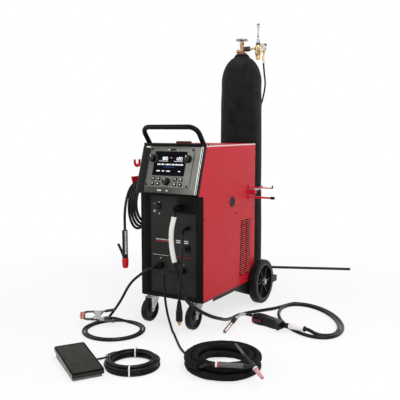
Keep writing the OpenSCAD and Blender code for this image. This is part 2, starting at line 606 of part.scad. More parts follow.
module head_housing() color([0.1, 0.1, 0.11]) on_face() difference() {
    translate([0, 0, head_face / 2]) union() {
        translate([0, 3, 0]) face_plate(case_w, head_face, head_depth - 3, 5);
        face_plate(case_w - 6, head_face - 6, 4, 9);
    }
    // Seat of the fascia, and the hollow behind it
    translate([0, -1, head_face / 2]) face_plate(fascia_w + 1, fascia_h + 1, fascia_t + 1, fascia_r);
    translate([0, fascia_t + 6, head_face / 2]) face_plate(case_w - 8, head_face - 8, head_depth, 4);
    translate([face_cx, 0, display_z]) face_plate(display_w - 12, display_h - 12, 20, 4);
    for (p = fascia_holes()) translate([p[0], 0, p[1]]) rod_y(12, 20);
    for (x = button_x, z = button_z) translate([face_cx + x, 0, z]) rod_y(stem_d + 2 * run_gap, 20);
}
fascia_w = 348;
fascia_h = 236;
fascia_r = 6;
function fascia_holes() = [[face_cx - knob_x, knob_z], [face_cx + knob_x, knob_z], [face_cx, select_z]];

module head_fascia() color([0.42, 0.42, 0.39]) on_face() {
    difference() {
        translate([-6, 0, head_face / 2]) face_plate(fascia_w - 12, fascia_h, fascia_t, fascia_r);
        translate([face_cx, -1, display_z]) face_plate(display_w, display_h, 2.5, 3);
        translate([face_cx, -1, display_z]) face_plate(display_w - 12, display_h - 12, fascia_t + 2, 3);
        for (p = fascia_holes()) translate([p[0], -1, p[1]]) rod_y(6 + 2 * shaft_gap, fascia_t + 2);
        for (x = button_x, z = button_z) translate([face_cx + x, -1, z])
            face_plate(button_w + 2 * run_gap, button_h + 2 * run_gap, fascia_t + 2, 2.4);
        // Groove round the controls
        translate([face_cx + 2, -1, 131]) difference() {
            face_plate(272, 206, 2, 12);
            translate([0, -1, 0]) face_plate(268, 202, 4, 10);
        }
    }
    for (p = [[face_cx - 118, 224], [face_cx + 122, 224], [face_cx - 122, 42], [face_cx + 119, 42]])
        translate([p[0], -1.6, p[1]]) difference() {
            rod_y(10, 1.6);
            translate([0, -1, 0]) rotate([-90, 0, 0]) cylinder(d = 5, h = 2, $fn = 6);
        }
    // Bright trim strip at the right edge
    translate([fascia_w / 2 - 5.8, -1, head_face / 2]) face_plate(11, fascia_h, fascia_t + 1, 5);
}

module display_window() color("black") on_face() translate([face_cx, 0.4, display_z])
    face_plate(display_w - 0.6, display_h - 0.6, 1.1, 2.7);

module knob(x, z) color([0.08, 0.08, 0.08]) on_face() translate([x, 0, z]) rotate([90, 0, 0]) {
    translate([0, 0, -fascia_t - 1]) cylinder(d = 6, h = fascia_t + 4);
    translate([0, 0, run_gap]) difference() {
        union() {
            cylinder(d = knob_d + 4, h = 3);
            cylinder(d = knob_d, h = knob_l - 3);
            cylinder(d = knob_d - 5, h = knob_l);
        }
        for (a = [0 : 20 : 359]) rotate(a + 10) translate([knob_d / 2 + 0.5, 0, 3.5]) cylinder(d = 3.4, h = knob_l, $fn = 8);
        rotate(25) translate([-1.2, 4, knob_l - 1.5]) cube([2.4, knob_d / 2, 3]);
    }
}
module knob_left() knob(face_cx - knob_x, knob_z);
module knob_right() knob(face_cx + knob_x, knob_z);
module knob_select() knob(face_cx, select_z);

stem_d = 8;
button_travel = 1.5;
module button(i) color([0.09, 0.09, 0.09]) on_face()
    translate([face_cx + button_x[i % 4], -button_proud, button_z[floor(i / 4)]]) {
        face_plate(button_w, button_h, fascia_t + button_proud - button_travel - 0.3, 2);
        translate([0, 1, 0]) rod_y(stem_d, fascia_t + button_proud + 3);
        // Raised key symbol
        translate([0, -0.3, 0]) face_plate(7, i % 2 == 0 ? 2.4 : 6, 0.4, 1);
    }
module button_1() button(0);
module button_2() button(1);
module button_3() button(2);
module button_4() button(3);
module button_5() button(4);
module button_6() button(5);
module button_7() button(6);
module button_8() button(7);

// Rocker that tilts about a pin through its own middle
module power_switch() color([0.06, 0.06, 0.06]) place() translate([switch_at[0], panel_recess + 1, switch_at[1]]) difference() {
    rotate([90, 0, 90]) translate([0, 0, -9]) linear_extrude(18)
        polygon([[3, -11.5], [-1.5, -12.5], [-4.6, -7], [-5.2, 0], [-8.4, 9], [-6, 12.5], [3, 11.5]]);
    translate([-10, 0, 0]) rod_x(3 + 2 * shaft_gap, 20);
}

module handle() color([0.05, 0.05, 0.05]) place() translate([0, handle_foot_y, case_top]) {
    difference() {
        rotate([handle_lean, 0, 0]) {
            for (s = [-1, 1]) translate([s * handle_w / 2, 0, -30]) cylinder(d = handle_d, h = handle_l - handle_bend + 30);
            for (s = [-1, 1]) translate([s * (handle_w / 2 - handle_bend), 0, handle_l - handle_bend])
                mirror([s > 0 ? 0 : 1, 0, 0]) rotate([90, 0, 0]) rotate_extrude(angle = 90)
                    translate([handle_bend, 0]) circle(d = handle_d);
            translate([-handle_w / 2 + handle_bend, 0, handle_l]) rod_x(handle_d, handle_w - 2 * handle_bend);
        }
        translate([-half_w, -60, -60]) cube([case_w, 120, 60 + 1]);
    }
    for (s = [-1, 1]) translate([s * handle_w / 2, 17, 0]) {
        linear_extrude(4) round_rect(46, 62, 8);
        for (y = [-24, 25]) translate([0, y, 4]) cylinder(d = 10, h = 3, $fn = 6);
    }
}
handle_foot_y = 52;

// Power electronics on the upright divider, sealed in the right and lower parts of the case
module power_core() color("silver") place() {
    difference() {
        translate([divider_x, bezel_back + 12, pan_top]) cube([2, case_d - bezel_back - 25, case_top - pan_top - 4]);
        translate([divider_x - 1, 300, 820]) rod_x(40, 4);
    }
    // Shelf on two legs beside the divider
    translate([-inner_w + 4, 190, shelf_z]) cube([divider_x + inner_w - 4 - run_gap, case_d - 194, 2]);
    for (x = [-inner_w + 4, divider_x - 10]) translate([x, 200, pan_top]) cube([2, case_d - 214, shelf_z + 1 - pan_top]);
    translate([divider_x + 2, 120, 200]) difference() {
        cube([70, 300, 260]);
        for (i = [0 : 9]) translate([12, -1, 14 + i * 25]) cube([60, 302, 14]);
    }
    translate([divider_x + 2, 150, 480]) cube([8, 260, 120]);
    for (y = [190, 270, 350]) translate([divider_x + 10, y, 540]) rod_x(64, 68);
    translate([-80, 200, pan_top]) cube([150, 120, 110]);
    translate([-5, 260, pan_top]) cylinder(d = 100, h = 128);
    translate([0, case_d - 105, 215]) rotate([-90, 0, 0]) ring(124, 108, 40);
    translate([0, case_d - 105, 215]) rod_y(50, 36);
    for (a = [0 : 60 : 179]) translate([0, case_d - 91, 215]) rotate([0, a, 0]) translate([-56, 0, -5]) cube([112, 4, 10]);
    translate([-30, case_d - 107, pan_top]) cube([60, 42, 12]);
}

module twist_socket(p) translate([p[0], panel_recess, p[1]]) difference() {
    union() {
        translate([0, -7, 0]) rod_y(socket_d, 7);
        translate([0, -1, 0]) rod_y(socket_d - 7, 26);
        translate([0, -9, 0]) rotate([-90, 0, 0]) ring(socket_d - 6, 20, 3);
    }
    translate([0, -20, 0]) rod_y(2 * socket_r, 60);
}

module output_sockets() color("black") place() {
    for (p = [spare_at, work_at, torch_at]) twist_socket(p);
    // Gun receiver: flange, brass collar and clamp screw
    translate([gun_port[0], panel_recess + 2, gun_port[1]]) difference() {
        union() {
            rod_y(45, 12);
            translate([0, -8, 0]) rod_y(40, 10);
            translate([0, 10, 0]) rod_y(34, 26);
        }
        translate([0, -20, 0]) rod_y(gun_bore_d, 60);
    }
    // Remote control socket and the gland of the polarity lead
    translate([remote_at[0], panel_recess, remote_at[1]]) {
        translate([0, -5, 0]) rod_y(24, 5);
        translate([0, -1, 0]) rod_y(15, 12);
        translate([0, -8, 0]) rotate([-90, 0, 0]) ring(18, 14, 3.5);
    }
    translate([lead_exit_at[0], panel_recess, lead_exit_at[1]]) {
        translate([0, -6, 0]) rotate([-90, 0, 0]) cylinder(d = 26, h = 6, $fn = 6);
        translate([0, -1, 0]) rod_y(15, 12);
        translate([0, -19, 0]) rod_y(20, 14);
    }
}

// Red cable hooks: a cradle and a saddle at the left front, two prongs at the right rear
module cable_hooks() color([0.75, 0.05, 0.08]) place() {
    translate([-half_w - 4, 20, 690]) cube([4, 80, 166]);
    // Arm and cradle
    translate([-half_w - 66, 44, 812]) cube([64, 32, 5]);
    translate([-half_w - 70, 60, 830]) rotate([90, 0, 90]) linear_extrude(5) difference() {
        union() {
            translate([-28, 0]) square([56, 18]);
            translate([0, 4]) intersection() {
                circle(28);
                translate([-28, -28]) square([56, 28]);
            }
        }
        translate([0, 6]) circle(14);
        translate([-14, 6]) square([28, 20]);
    }
    // Saddle and its end lip
    translate([-half_w - hook_reach, hank_top[1], hank_top[2] - work_cable_d / 2 - run_gap - saddle_r]) rotate([90, 0, 90]) {
        linear_extrude(hook_reach) difference() {
            circle(saddle_r);
            circle(saddle_r - 4);
            translate([-40, -80]) square([80, 80]);
        }
        translate([0, 0, -4]) linear_extrude(4) polygon([[-17, 8], [17, 8], [36, 64], [-36, 64]]);
    }
    // Rear prongs on a backing plate, with rubber tips
    translate([half_w, case_d - 87, 612]) cube([4, 60, 88]);
    for (p = [[683, 5, 0], [628, 9, 1]]) translate([half_w + 2, case_d - 56, p[0] - p[1] / 2]) {
        linear_extrude(p[1]) polygon([[0, -28], [30, -14], [100, -9], [134, -6], [134, 6], [100, 10], [0, 20]]);
        if (p[2] > 0) translate([124, 0, p[1] / 2]) rotate([0, 90, 0]) cylinder(d = 16, h = 20);
        if (p[2] == 0) translate([130, -6, 0]) cube([4, 12, 16]);
    }
    translate([half_w + 3, case_d - 56, 655]) rod_x(24, 30);
}
saddle_r = 24;
hook_reach = 82;

// Wire drive: gear housing, lower and upper rolls, pressure arms with a tension screw
module wire_drive() color([0.35, 0.35, 0.37]) place() translate([divider_x, drive_y, gun_port[1]]) {
    translate([-14, 0, -62]) cube([14, 130, 120]);
    for (y = [35, 95]) {
        translate([-66, y, -19]) rod_x(34, 22);
        translate([-52, y, -19]) rod_x(12, 40);
        translate([-66, y, 19]) rod_x(34, 22);
        translate([-52, y, 19]) rod_x(12, 40);
        translate([-30, y - 14, 12]) cube([12, 28, 50]);
        translate([-70, y, -19]) rotate([0, 90, 0]) cylinder(d = 16, h = 5, $fn = 6);
    }
    translate([-24, 65, 58]) cylinder(d = 12, h = 44);
    translate([-24, 65, 84]) cylinder(d = 26, h = 34, $fn = 12);
    translate([-30, 21, 58]) cube([12, 88, 8]);
    // Wire guides in line with the gun receiver
    translate([gun_port[0] - divider_x, bezel_back + 14 - drive_y, 0]) rod_y(gun_pin_d, drive_y - bezel_back - 1);
    translate([gun_port[0] - divider_x, 112, 0]) rod_y(10, 26);
    for (y = [10, 116]) translate([gun_port[0] - divider_x - 8, y, -4]) cube([divider_x - gun_port[0] - 3, 12, 8]);
    // Spool hub
    translate([0, spool_at[1] - drive_y, spool_at[2] - gun_port[1]]) {
        translate([-spool_gap + run_gap, 0, 0]) rod_x(66, spool_gap - run_gap);
        translate([-spool_gap - spool_w - 20, 0, 0]) rod_x(hub_d, spool_w + 22);
        translate([-spool_gap - spool_w - 20, 0, 0]) rod_x(60, 20 - run_gap);
    }
}

// Plastic spool with its wound wire, free to turn on the hub
spool_w = 102;
spool_d = 200;
spool_gap = 16;
hub_d = 46;
module wire_spool() color("silver") place() translate([divider_x - spool_gap - spool_w, spool_at[1], spool_at[2]]) rotate([0, 90, 0])
    difference() {
        union() {
            for (z = [0, spool_w - 4]) translate([0, 0, z]) cylinder(d = spool_d, h = 4);
            cylinder(d = spool_d - 32, h = spool_w);
        }
        translate([0, 0, -1]) cylinder(d = hub_d + 2 * shaft_gap, h = spool_w + 2);
        for (z = [-1, spool_w - 8]) translate([0, 0, z]) ring(spool_d - 60, hub_d + 14, 9);
        for (a = [0 : 60 : 359], z = [-1, spool_w - 4.5]) rotate(a) translate([spool_d / 2 - 8, 0, z]) cylinder(d = 10, h = 5.5);
    }

// ---- Gas bottle and its fittings

bottle_r = bottle_d / 2;
dome_z = neck_z - 178;
dome_h = 158;
neck_r = 40;
cover_r = bottle_r + 0.3 + cover_t;
// Points of an elliptical shoulder between two radii, as [radius, height]
function shoulder(r, h, r_end) = [for (i = [0 : 8])
    let(a = acos(r_end / r) * i / 8) [r * cos(a), dome_z + h * sin(a)]];

bottle_wall = 6;
module gas_cylinder() color([0.3, 0.16, 0.12]) place() translate([0, bottle_y, 0]) difference() {
    rotate_extrude($fn = 96) polygon(concat([[0, bottle_z + 14], [bottle_r - 14, bottle_z], [bottle_r - 5, bottle_z],
        [bottle_r, bottle_z + 6]], shoulder(bottle_r, dome_h, neck_r),
        [[neck_r - 2, neck_z - 22], [neck_r - 11, neck_z - 4], [neck_r - 13, neck_z], [0, neck_z]]));
    // The hollow that holds the gas
    rotate_extrude($fn = 96) polygon(concat([[0, bottle_z + 24], [bottle_r - 30, bottle_z + 12], [bottle_r - bottle_wall, bottle_z + 30]],
        shoulder(bottle_r - bottle_wall, dome_h - bottle_wall, 12), [[0, dome_z + dome_h - bottle_wall]]));
}

module cylinder_cover() color([0.07, 0.07, 0.08]) place() translate([0, bottle_y, 0])
    rotate_extrude($fn = 96) polygon(concat([[bottle_r + 0.3, bottle_z + 8], [cover_r, bottle_z + 8]],
        shoulder(cover_r, dome_h + 4.5, neck_r + 8), [[neck_r + 6, neck_z - 11], [neck_r + 2, neck_z - 11],
        [neck_r + 2.5, neck_z - 22]], [for (i = [8 : -1 : 0]) shoulder(bottle_r + 0.3, dome_h + 0.5, neck_r + 3)[i]]));

outlet_z = neck_z + 21;
stem_r = 4.5;
wheel_z = neck_z + 75;
module cylinder_valve() color([0.78, 0.6, 0.3]) place() translate([0, bottle_y, 0]) {
    difference() {
        union() {
            translate([0, 0, neck_z]) cylinder(d = 34, h = 8, $fn = 8);
            translate([0, 0, neck_z]) cylinder(d = 25, h = 46);
            translate([0, 0, neck_z + 46]) cylinder(d = 30, h = 16, $fn = 6);
        }
        translate([0, 0, neck_z + 42]) cylinder(r = stem_r + shaft_gap, h = 22);
    }
    translate([0, 0, outlet_z - 10]) {
        translate([-26, 0, 0]) rod_x(16, 16);
        translate([-34, 0, 0]) rotate([0, 90, 0]) cylinder(d = 20, h = 9, $fn = 6);
    }
    translate([10, 0, outlet_z]) rod_x(22, 9);
    translate([18, 0, outlet_z]) rotate([0, 90, 0]) cylinder(d = 30, h = 36, $fn = 6);
}

module valve_handwheel() color("silver") place() translate([0, bottle_y, 0]) {
    translate([0, 0, neck_z + 44]) cylinder(r = stem_r, h = wheel_z + 6 - neck_z - 44);
    translate([0, 0, wheel_z + 5]) cylinder(d = 13, h = 6, $fn = 6);
    translate([0, 0, wheel_z - 6]) cylinder(d = 20, h = 12);
    translate([0, 0, wheel_z]) difference() {
        rotate_extrude() translate([handwheel_d / 2 - 5, 0]) circle(5, $fn = 24);
        for (a = [0 : 45 : 359]) rotate(a) translate([handwheel_d / 2 + 5, 0, -6]) cylinder(d = 14, h = 12);
    }
    for (a = [0 : 72 : 359]) rotate(a) translate([8, -3, wheel_z - 2]) cube([handwheel_d / 2 - 12, 6, 4]);
}

flow_body_z = neck_z - 21;
tube_z = neck_z + 51;
gauge_at = [41, -30, outlet_z - 4];
module flow_regulator() color([0.85, 0.68, 0.38]) place() translate([flow_x, bottle_y, 0]) {
    translate([54 - flow_x, 0, outlet_z]) rod_x(13, flow_x - 54);
    translate([-22, 0, outlet_z]) rotate([0, 90, 0]) cylinder(d = 20, h = 8, $fn = 6);
    rotate_extrude() polygon([[0, flow_body_z - 25], [11, flow_body_z - 25], [13, flow_body_z - 22], [13, flow_body_z],
        [17, flow_body_z + 5], [17, outlet_z + 14], [12, tube_z - 13], [0, tube_z - 13]]);
    translate([0, 0, tube_z - 13]) cylinder(d = 27, h = 13, $fn = 12);
    // Flow tube with its float and cap
    translate([0, 0, tube_z]) ring(20, 12, flow_tube_l - 8);
    translate([0, 0, tube_z - 2]) cylinder(d = 4, h = flow_tube_l - 4);
    translate([0, 0, tube_z + flow_tube_l - 8]) rotate_extrude() polygon([[0, 0], [10, 0], [10, 2], [7.5, 5.5], [3.5, 8], [0, 8]]);
    // Gauge, its stem, and the needle valve with the hose barb
    translate([0, -8, gauge_at[2]]) rotate([0, 0, -atan2(-gauge_at[1] - 16, gauge_at[0])]) rod_x(10, 38);
    translate(gauge_at) {
        rod_y(44, 14);
        translate([0, -3, 0]) rotate([-90, 0, 0]) ring(47, 40, 5);
        translate([0, -1, 0]) rod_y(6, 2);
        rotate([0, 35, 0]) translate([-1, -1, 0]) cube([2, 1.5, 15]);
    }
    translate([10, 0, outlet_z - 4]) rod_x(13, 24);
    translate([valve_x, 0, outlet_z - 14]) difference() {
        cylinder(d = 17, h = 22);
        translate([0, 0, 8]) cylinder(r = 3 + shaft_gap, h = 20);
    }
    translate([valve_x, 0, outlet_z - 32]) cylinder(d = 18, h = 18, $fn = 6);
    translate([valve_x - 3, 0, neck_z - 61]) cylinder(d = 10, h = 49);
    translate([valve_x - 3, 0, neck_z - 50]) cylinder(d = 14, h = 22, $fn = 6);
}
valve_x = 40;

module flow_knob() color([0.1, 0.1, 0.1]) place() translate([flow_x + valve_x, bottle_y, outlet_z + 8]) {
    translate([0, 0, -13]) cylinder(r = 3, h = 15);
    translate([0, 0, run_gap]) difference() {
        cylinder(d = 27, h = 14);
        for (a = [0 : 45 : 359]) rotate(a) translate([15.5, 0, -1]) cylinder(d = 8, h = 16);
    }
}

// Chain round the bottle, from eye to eye on the rear panel
eye_y = case_d + 15;
chain_r = cover_r + chain_wire * 2 + 0.4;
chain_reach = norm([chain_x, eye_y - bottle_y]);
chain_touch = atan2(eye_y - bottle_y, chain_x) + acos(chain_r / chain_reach);
chain_straight = sqrt(chain_reach * chain_reach - chain_r * chain_r);
chain_arc = (180 - 2 * chain_touch) * PI / 180 * chain_r;
chain_total = 2 * chain_straight + chain_arc;
eye_reach = 5.7 + chain_pitch / 2;
link_count = ceil((chain_total - 2 * eye_reach) / (chain_pitch - 0.3)) + 1;
link_step = (chain_total - 2 * eye_reach) / (link_count - 1);
// Place and heading of the chain at a distance from the right eye, as [x, y, heading]
function chain_at(s) = let(f = chain_touch + (s - chain_straight) / chain_r * 180 / PI)
    s < chain_straight ? chain_leg(s, 1)
    : s > chain_total - chain_straight ? chain_leg(chain_total - s, -1)
    : [chain_r * cos(f), bottle_y + chain_r * sin(f), f + 90];
function chain_leg(s, side) = let(t = s / chain_straight)
    [side * (chain_x + (chain_r * cos(chain_touch) - chain_x) * t),
    eye_y + (bottle_y + chain_r * sin(chain_touch) - eye_y) * t,
    side > 0 ? chain_touch + 90 : 270 - chain_touch];
module chain_link() rotate([90, 0, 0]) {
    for (s = [-1, 1]) translate([s * (chain_pitch - 2 * link_bend) / 2, 0, 0]) rotate(s * 90 - 90) rotate([0, 0, -90])
        rotate_extrude(angle = 180, $fn = 24) translate([link_bend + chain_wire / 2, 0]) circle(d = chain_wire, $fn = 16);
    for (y = [-1, 1]) translate([-(chain_pitch - 2 * link_bend) / 2, y * (link_bend + chain_wire / 2), 0])
        rotate([0, 90, 0]) cylinder(d = chain_wire, h = chain_pitch - 2 * link_bend, $fn = 16);
}
link_bend = 4;
module cylinder_chain() color("silver") place() {
    for (i = [0 : link_count - 1]) let(c = chain_at(eye_reach + i * link_step))
        translate([c[0], c[1], chain_z]) rotate(c[2]) rotate([i % 2 == 0 ? 0 : 90, 0, 0]) chain_link();
    for (s = [-1, 1]) translate([s * chain_x, eye_y, chain_z]) {
        rotate_extrude() translate([8, 0]) circle(d = 4, $fn = 16);
        translate([0, case_d - 8 - eye_y, 0]) rod_y(8, eye_y - case_d - 1);
        for (y = [case_d + 0.3, case_d - sheet_t - 5.3]) translate([0, y - eye_y, 0])
            rotate([-90, 0, 0]) cylinder(d = 15, h = 5, $fn = 6);
    }
}

// ---- Hand tools

// Turns the Z axis to run from one point to another
module aim(a, b) translate(a) rotate([0, acos((b - a)[2] / norm(b - a)), atan2((b - a)[1], (b - a)[0])]) children();

gun_at = [345, 262, 0];
gun_turn = -17.1;
gun_pivot = [64, -22];
gun_neck = [[345, 262, 28], [325, 268, 29], [306, 263, 32], [294, 245, 37], [290, 215, 42], [293, 180, 43], [300, 130, 42]];
module mig_gun_body() color([0.12, 0.12, 0.13]) place() {
    translate(gun_at) rotate(gun_turn) difference() {
        intersection() {
            linear_extrude(48) polygon([[-4, 10], [2, -20], [24, -24], [52, -24], [74, -19], [82, -15], [150, -14], [176, -19],
                [186, -40], [195, -43], [202, -36], [197, -16], [195, 15], [150, 20], [92, 23], [60, 27], [14, 27]]);
            translate([0, 60, 0]) rotate([90, 0, 0]) linear_extrude(120) polygon([[-6, 12], [4, 4], [20, 0], [150, 0], [190, 10],
                [204, 14], [204, 46], [190, 48], [60, 48], [20, 46], [-6, 42]]);
        }
        // Slot of the trigger, and the finger hold behind it
        translate([14, -40, 16]) cube([62, 27, 16]);
        translate([128, 3, -1]) linear_extrude(60) round_rect(20, 8, 3.9);
    }
    translate(gun_at) rotate(gun_turn) translate([gun_pivot[0], gun_pivot[1], 14]) cylinder(d = 3, h = 20);
    tube(smooth(gun_neck, 3), 16, 10);
    aim([300, 130, 42], [312, -20, 12]) {
        translate([0, 0, -12]) cylinder(d = 22, h = 44);
        translate([0, 0, 30]) ring(19, 15, 100);
        translate([0, 0, 30]) cylinder(d = 8, h = 96);
        translate([0, 0, 120]) cylinder(d = 1.2, h = 28, $fn = 16);
    }
}
module mig_gun_trigger() color([0.55, 0.06, 0.07]) place() translate(gun_at) rotate(gun_turn)
    translate([gun_pivot[0], gun_pivot[1], 16.5]) difference() {
        linear_extrude(15) polygon([[5, 2], [4, -3], [-6, -9], [-26, -16], [-44, -18], [-46, -12], [-30, -4], [-20, 4], [0, 5]]);
        translate([0, 0, -1]) cylinder(d = 3 + 2 * shaft_gap, h = 17);
    }

torch_tail = [545, -506, 73.5];
torch_head = [682, -438, 70.5];
torch_cup = [736, -470, 45.5];
torch_cap = [562, -368, 120.5];
module tig_torch() color([0.2, 0.21, 0.22]) place() {
    aim(torch_tail, torch_head) {
        translate([0, 0, -15]) cylinder(d = 18, h = 15);
        ring_grip();
        translate([0, 0, 118]) cylinder(d1 = 21, d2 = 15, h = 12);
        translate([0, 0, 128]) cylinder(d = 14, h = norm(torch_head - torch_tail) - 128);
    }
    aim(torch_head, torch_cup) {
        translate([0, 0, -14]) cylinder(d = 21, h = 26);
        translate([0, 0, 12]) cylinder(d = 23, h = 7);
        translate([0, 0, 19]) cylinder(d1 = 20, d2 = 18, h = 12);
        translate([0, 0, 31]) difference() {
            cylinder(d1 = 18, d2 = 14, h = norm(torch_cup - torch_head) - 31);
            translate([0, 0, 5]) cylinder(d = 9, h = 60);
        }
        translate([0, 0, 30]) cylinder(d = 2.4, h = norm(torch_cup - torch_head) - 20, $fn = 16);
    }
    aim(torch_head, torch_cap) {
        translate([0, 0, 12]) cylinder(d = 17, h = 8);
        cylinder(d1 = 15, d2 = 9, h = norm(torch_cap - torch_head) - 5);
        translate([0, 0, norm(torch_cap - torch_head) - 5.5]) sphere(d = 9);
    }
}
module ring_grip() {
    cylinder(d = 22, h = 6);
    translate([0, 0, 6]) cylinder(d = 20, h = 3);
    translate([0, 0, 9]) cylinder(d = 22, h = 5);
    translate([0, 0, 14]) cylinder(d = 19.5, h = 104);
    for (i = [0 : 15]) translate([0, 0, 17 + i * 6]) cylinder(d = 21.2, h = 3.6);
    translate([0, 0, 112]) cylinder(d = 21.6, h = 7);
}

clamp_at = [-318, -205, 52];
clamp_turn = -149;
clamp_tilt = 130;
clamp_pin = 8;
module on_clamp() place() translate(clamp_at) rotate(clamp_turn) rotate([clamp_tilt, 0, 0]) children();
// Folded spine of one clamp half, its jaw towards +X
function clamp_spine(t) = [[95, -1.5 - t / 2], [95, -5 - t], [84, -14 - t], [60, -20 - t], [20, -22.5 - t / 2], [-22, -22.5 - t / 2],
    [-80, -32 - t / 2], [-80, -30], [-22, -20], [20, -20], [60, -18], [80, -12], [88, -4], [88, -1.5 - t / 2]];
module clamp_half(w, lug_w) {
    translate([0, 0, -w / 2]) linear_extrude(w) polygon(clamp_spine(2));
    // Side lugs down to the pin
    for (z = [-lug_w / 2, lug_w / 2 - 2.4]) translate([0, 0, z]) linear_extrude(2.4) difference() {
        union() {
            circle(8.5);
            polygon([[-22, -21], [34, -21], [8.4, 1.5], [-8.4, 1.5]]);
        }
        circle(d = clamp_pin + 2 * shaft_gap);
    }
    // Copper jaw pad and rubber handle grip
    translate([70, -16, -w / 2 + 1]) cube([24, 15.4, w - 2]);
    translate([-81, -35.5, -w / 2 - 1.5]) rotate(9.6) cube([50, 7, w + 3]);
}
module clamp_jaw_fixed() color("silver") on_clamp() {
    clamp_half(24, 24);
    translate([0, 0, -14]) cylinder(d = clamp_pin, h = 28);
    for (z = [-16, 13]) translate([0, 0, z]) cylinder(d = 13, h = 3, $fn = 6);
    // Torsion spring on the pin
    translate([0, 0, -5.5]) ring(15, 10, 11);
    // Cable lug bolted to the spine
    translate([-60, -14, 0]) rod_x(17, 26);
    translate([-36, -22, -7]) cube([14, 12, 14]);
}
module clamp_jaw_moving() color("silver") on_clamp() mirror([0, 1, 0]) clamp_half(18, 18);

holder_jaw = [holder_at[0] - 4, holder_at[1], 326];
module holder_body() color([0.1, 0.1, 0.1]) place() {
    difference() {
        translate(holder_at) rotate_extrude() polygon([[0, 0], [12, 0], [15, 4], [17, 22], [17.5, 46],
            [15.5, 52], [15, 60], [15, 196], [13, holder_top], [0, holder_top]]);
        // Slot of the lever, and the hole that takes the electrode
        translate([holder_at[0], holder_at[1] + 5.6, 0]) rotate([90, 0, 0]) linear_extrude(11.2)
            polygon([[-23, 286], [9, 286], [9, 350], [-4, 350], [-4, 392], [-23, 392]]);
        translate([holder_at[0] + 2, holder_at[1] - 30, 292]) rod_y(5, 60);
    }
    translate([holder_jaw[0], holder_at[1] - 15, holder_jaw[2]]) rod_y(4, 30);
    translate([holder_at[0] + 6, holder_at[1] - 5, 287]) cube([6, 10, 30]);
}
module holder_lever() color([0.1, 0.1, 0.1]) place() translate([holder_jaw[0], holder_at[1] - 5, holder_jaw[2]]) rotate([90, 0, 0])
    mirror([0, 0, 1]) difference() {
        linear_extrude(10) polygon([[6, 4], [5, -32], [-2, -36], [-6, -30], [-6, -4], [-12, 12], [-24, 38], [-42, 70], [-47, 76], [-41, 80],
            [-35, 76], [-16, 42], [-4, 20]]);
        translate([0, 0, -1]) cylinder(d = 4 + 2 * shaft_gap, h = 12);
    }

pedal_at = [-36, -667];
pedal_turn = 57.6;
pedal_w = 134;
pedal_l = 304;
pedal_pin = [-37, 16];
pedal_z = [31, 45];
module on_pedal() place() translate([pedal_at[0], pedal_at[1], 0]) rotate(pedal_turn) children();
function pedal_line(y, drop) = pedal_z[0] + (y + pedal_l / 2) / pedal_l * (pedal_z[1] - pedal_z[0]) - drop;
module pedal_base() color([0.62, 0.62, 0.6]) on_pedal() {
    difference() {
        translate([0, 1, 0]) linear_extrude(22) round_rect(pedal_w - 10, pedal_l - 12, 7);
        translate([0, 1, 4]) linear_extrude(30) round_rect(pedal_w - 18, pedal_l - 20, 4);
    }
    for (s = [-1, 1]) translate([s * (pedal_w / 2 - 13) - 2, pedal_pin[0] - 9, 2]) cube([4, 18, 20]);
    translate([-pedal_w / 2 - 1, pedal_pin[0], pedal_pin[1]]) rod_x(8, pedal_w + 2);
    // Control box, gear post and return spring under the cover
    translate([-40, -130, 3]) cube([60, 50, 17]);
    translate([-15, 60, 3]) cube([50, 46, 14]);
    translate([-30, 96, 3]) ring(24, 19, 22);
    // Strain relief of the cord
    translate([pedal_w / 2 - 9, 15, 10]) rod_x(13, 6);
    translate([pedal_w / 2 - 6, 15, 10]) rotate([0, 90, 0]) cylinder(d1 = 12, d2 = 11, h = 27.8);
}
module pedal_plate() color([0.16, 0.15, 0.14]) on_pedal() difference() {
    union() {
        difference() {
            side_sheet(-pedal_w / 2, pedal_w) polygon([[-pedal_l / 2, pedal_z[0] - 18], [-pedal_l / 2, pedal_z[0] - 3],
                [-pedal_l / 2 + 3, pedal_z[0]], [pedal_l / 2 - 3, pedal_z[1]], [pedal_l / 2, pedal_z[1] - 3],
                [pedal_l / 2, pedal_z[1] - 18]]);
            side_sheet(4 - pedal_w / 2, pedal_w - 8) polygon([[-pedal_l / 2 + 4, -10], [-pedal_l / 2 + 4, pedal_z[0] - 4],
                [pedal_l / 2 - 4, pedal_z[1] - 4], [pedal_l / 2 - 4, -10]]);
        }
        for (x = [-pedal_w / 2, pedal_w / 2 - 4]) side_sheet(x, 4)
            polygon([[pedal_pin[0] - 16, pedal_line(pedal_pin[0] - 16, 17)], [pedal_pin[0] - 6, pedal_pin[1] - 8],
                [pedal_pin[0] + 6, pedal_pin[1] - 8], [pedal_pin[0] + 16, pedal_line(pedal_pin[0] + 16, 17)]]);
        // Ridged tread
        for (i = [0 : 8]) let(y = 30 + i * 12) translate([-52, y, pedal_line(y, 0.5)]) cube([104, 5, 2]);
    }
    // Bore for the pivot pin
    translate([-pedal_w / 2 - 1, pedal_pin[0], pedal_pin[1]]) rod_x(8 + 2 * shaft_gap, pedal_w + 2);
}

// ---- Cords

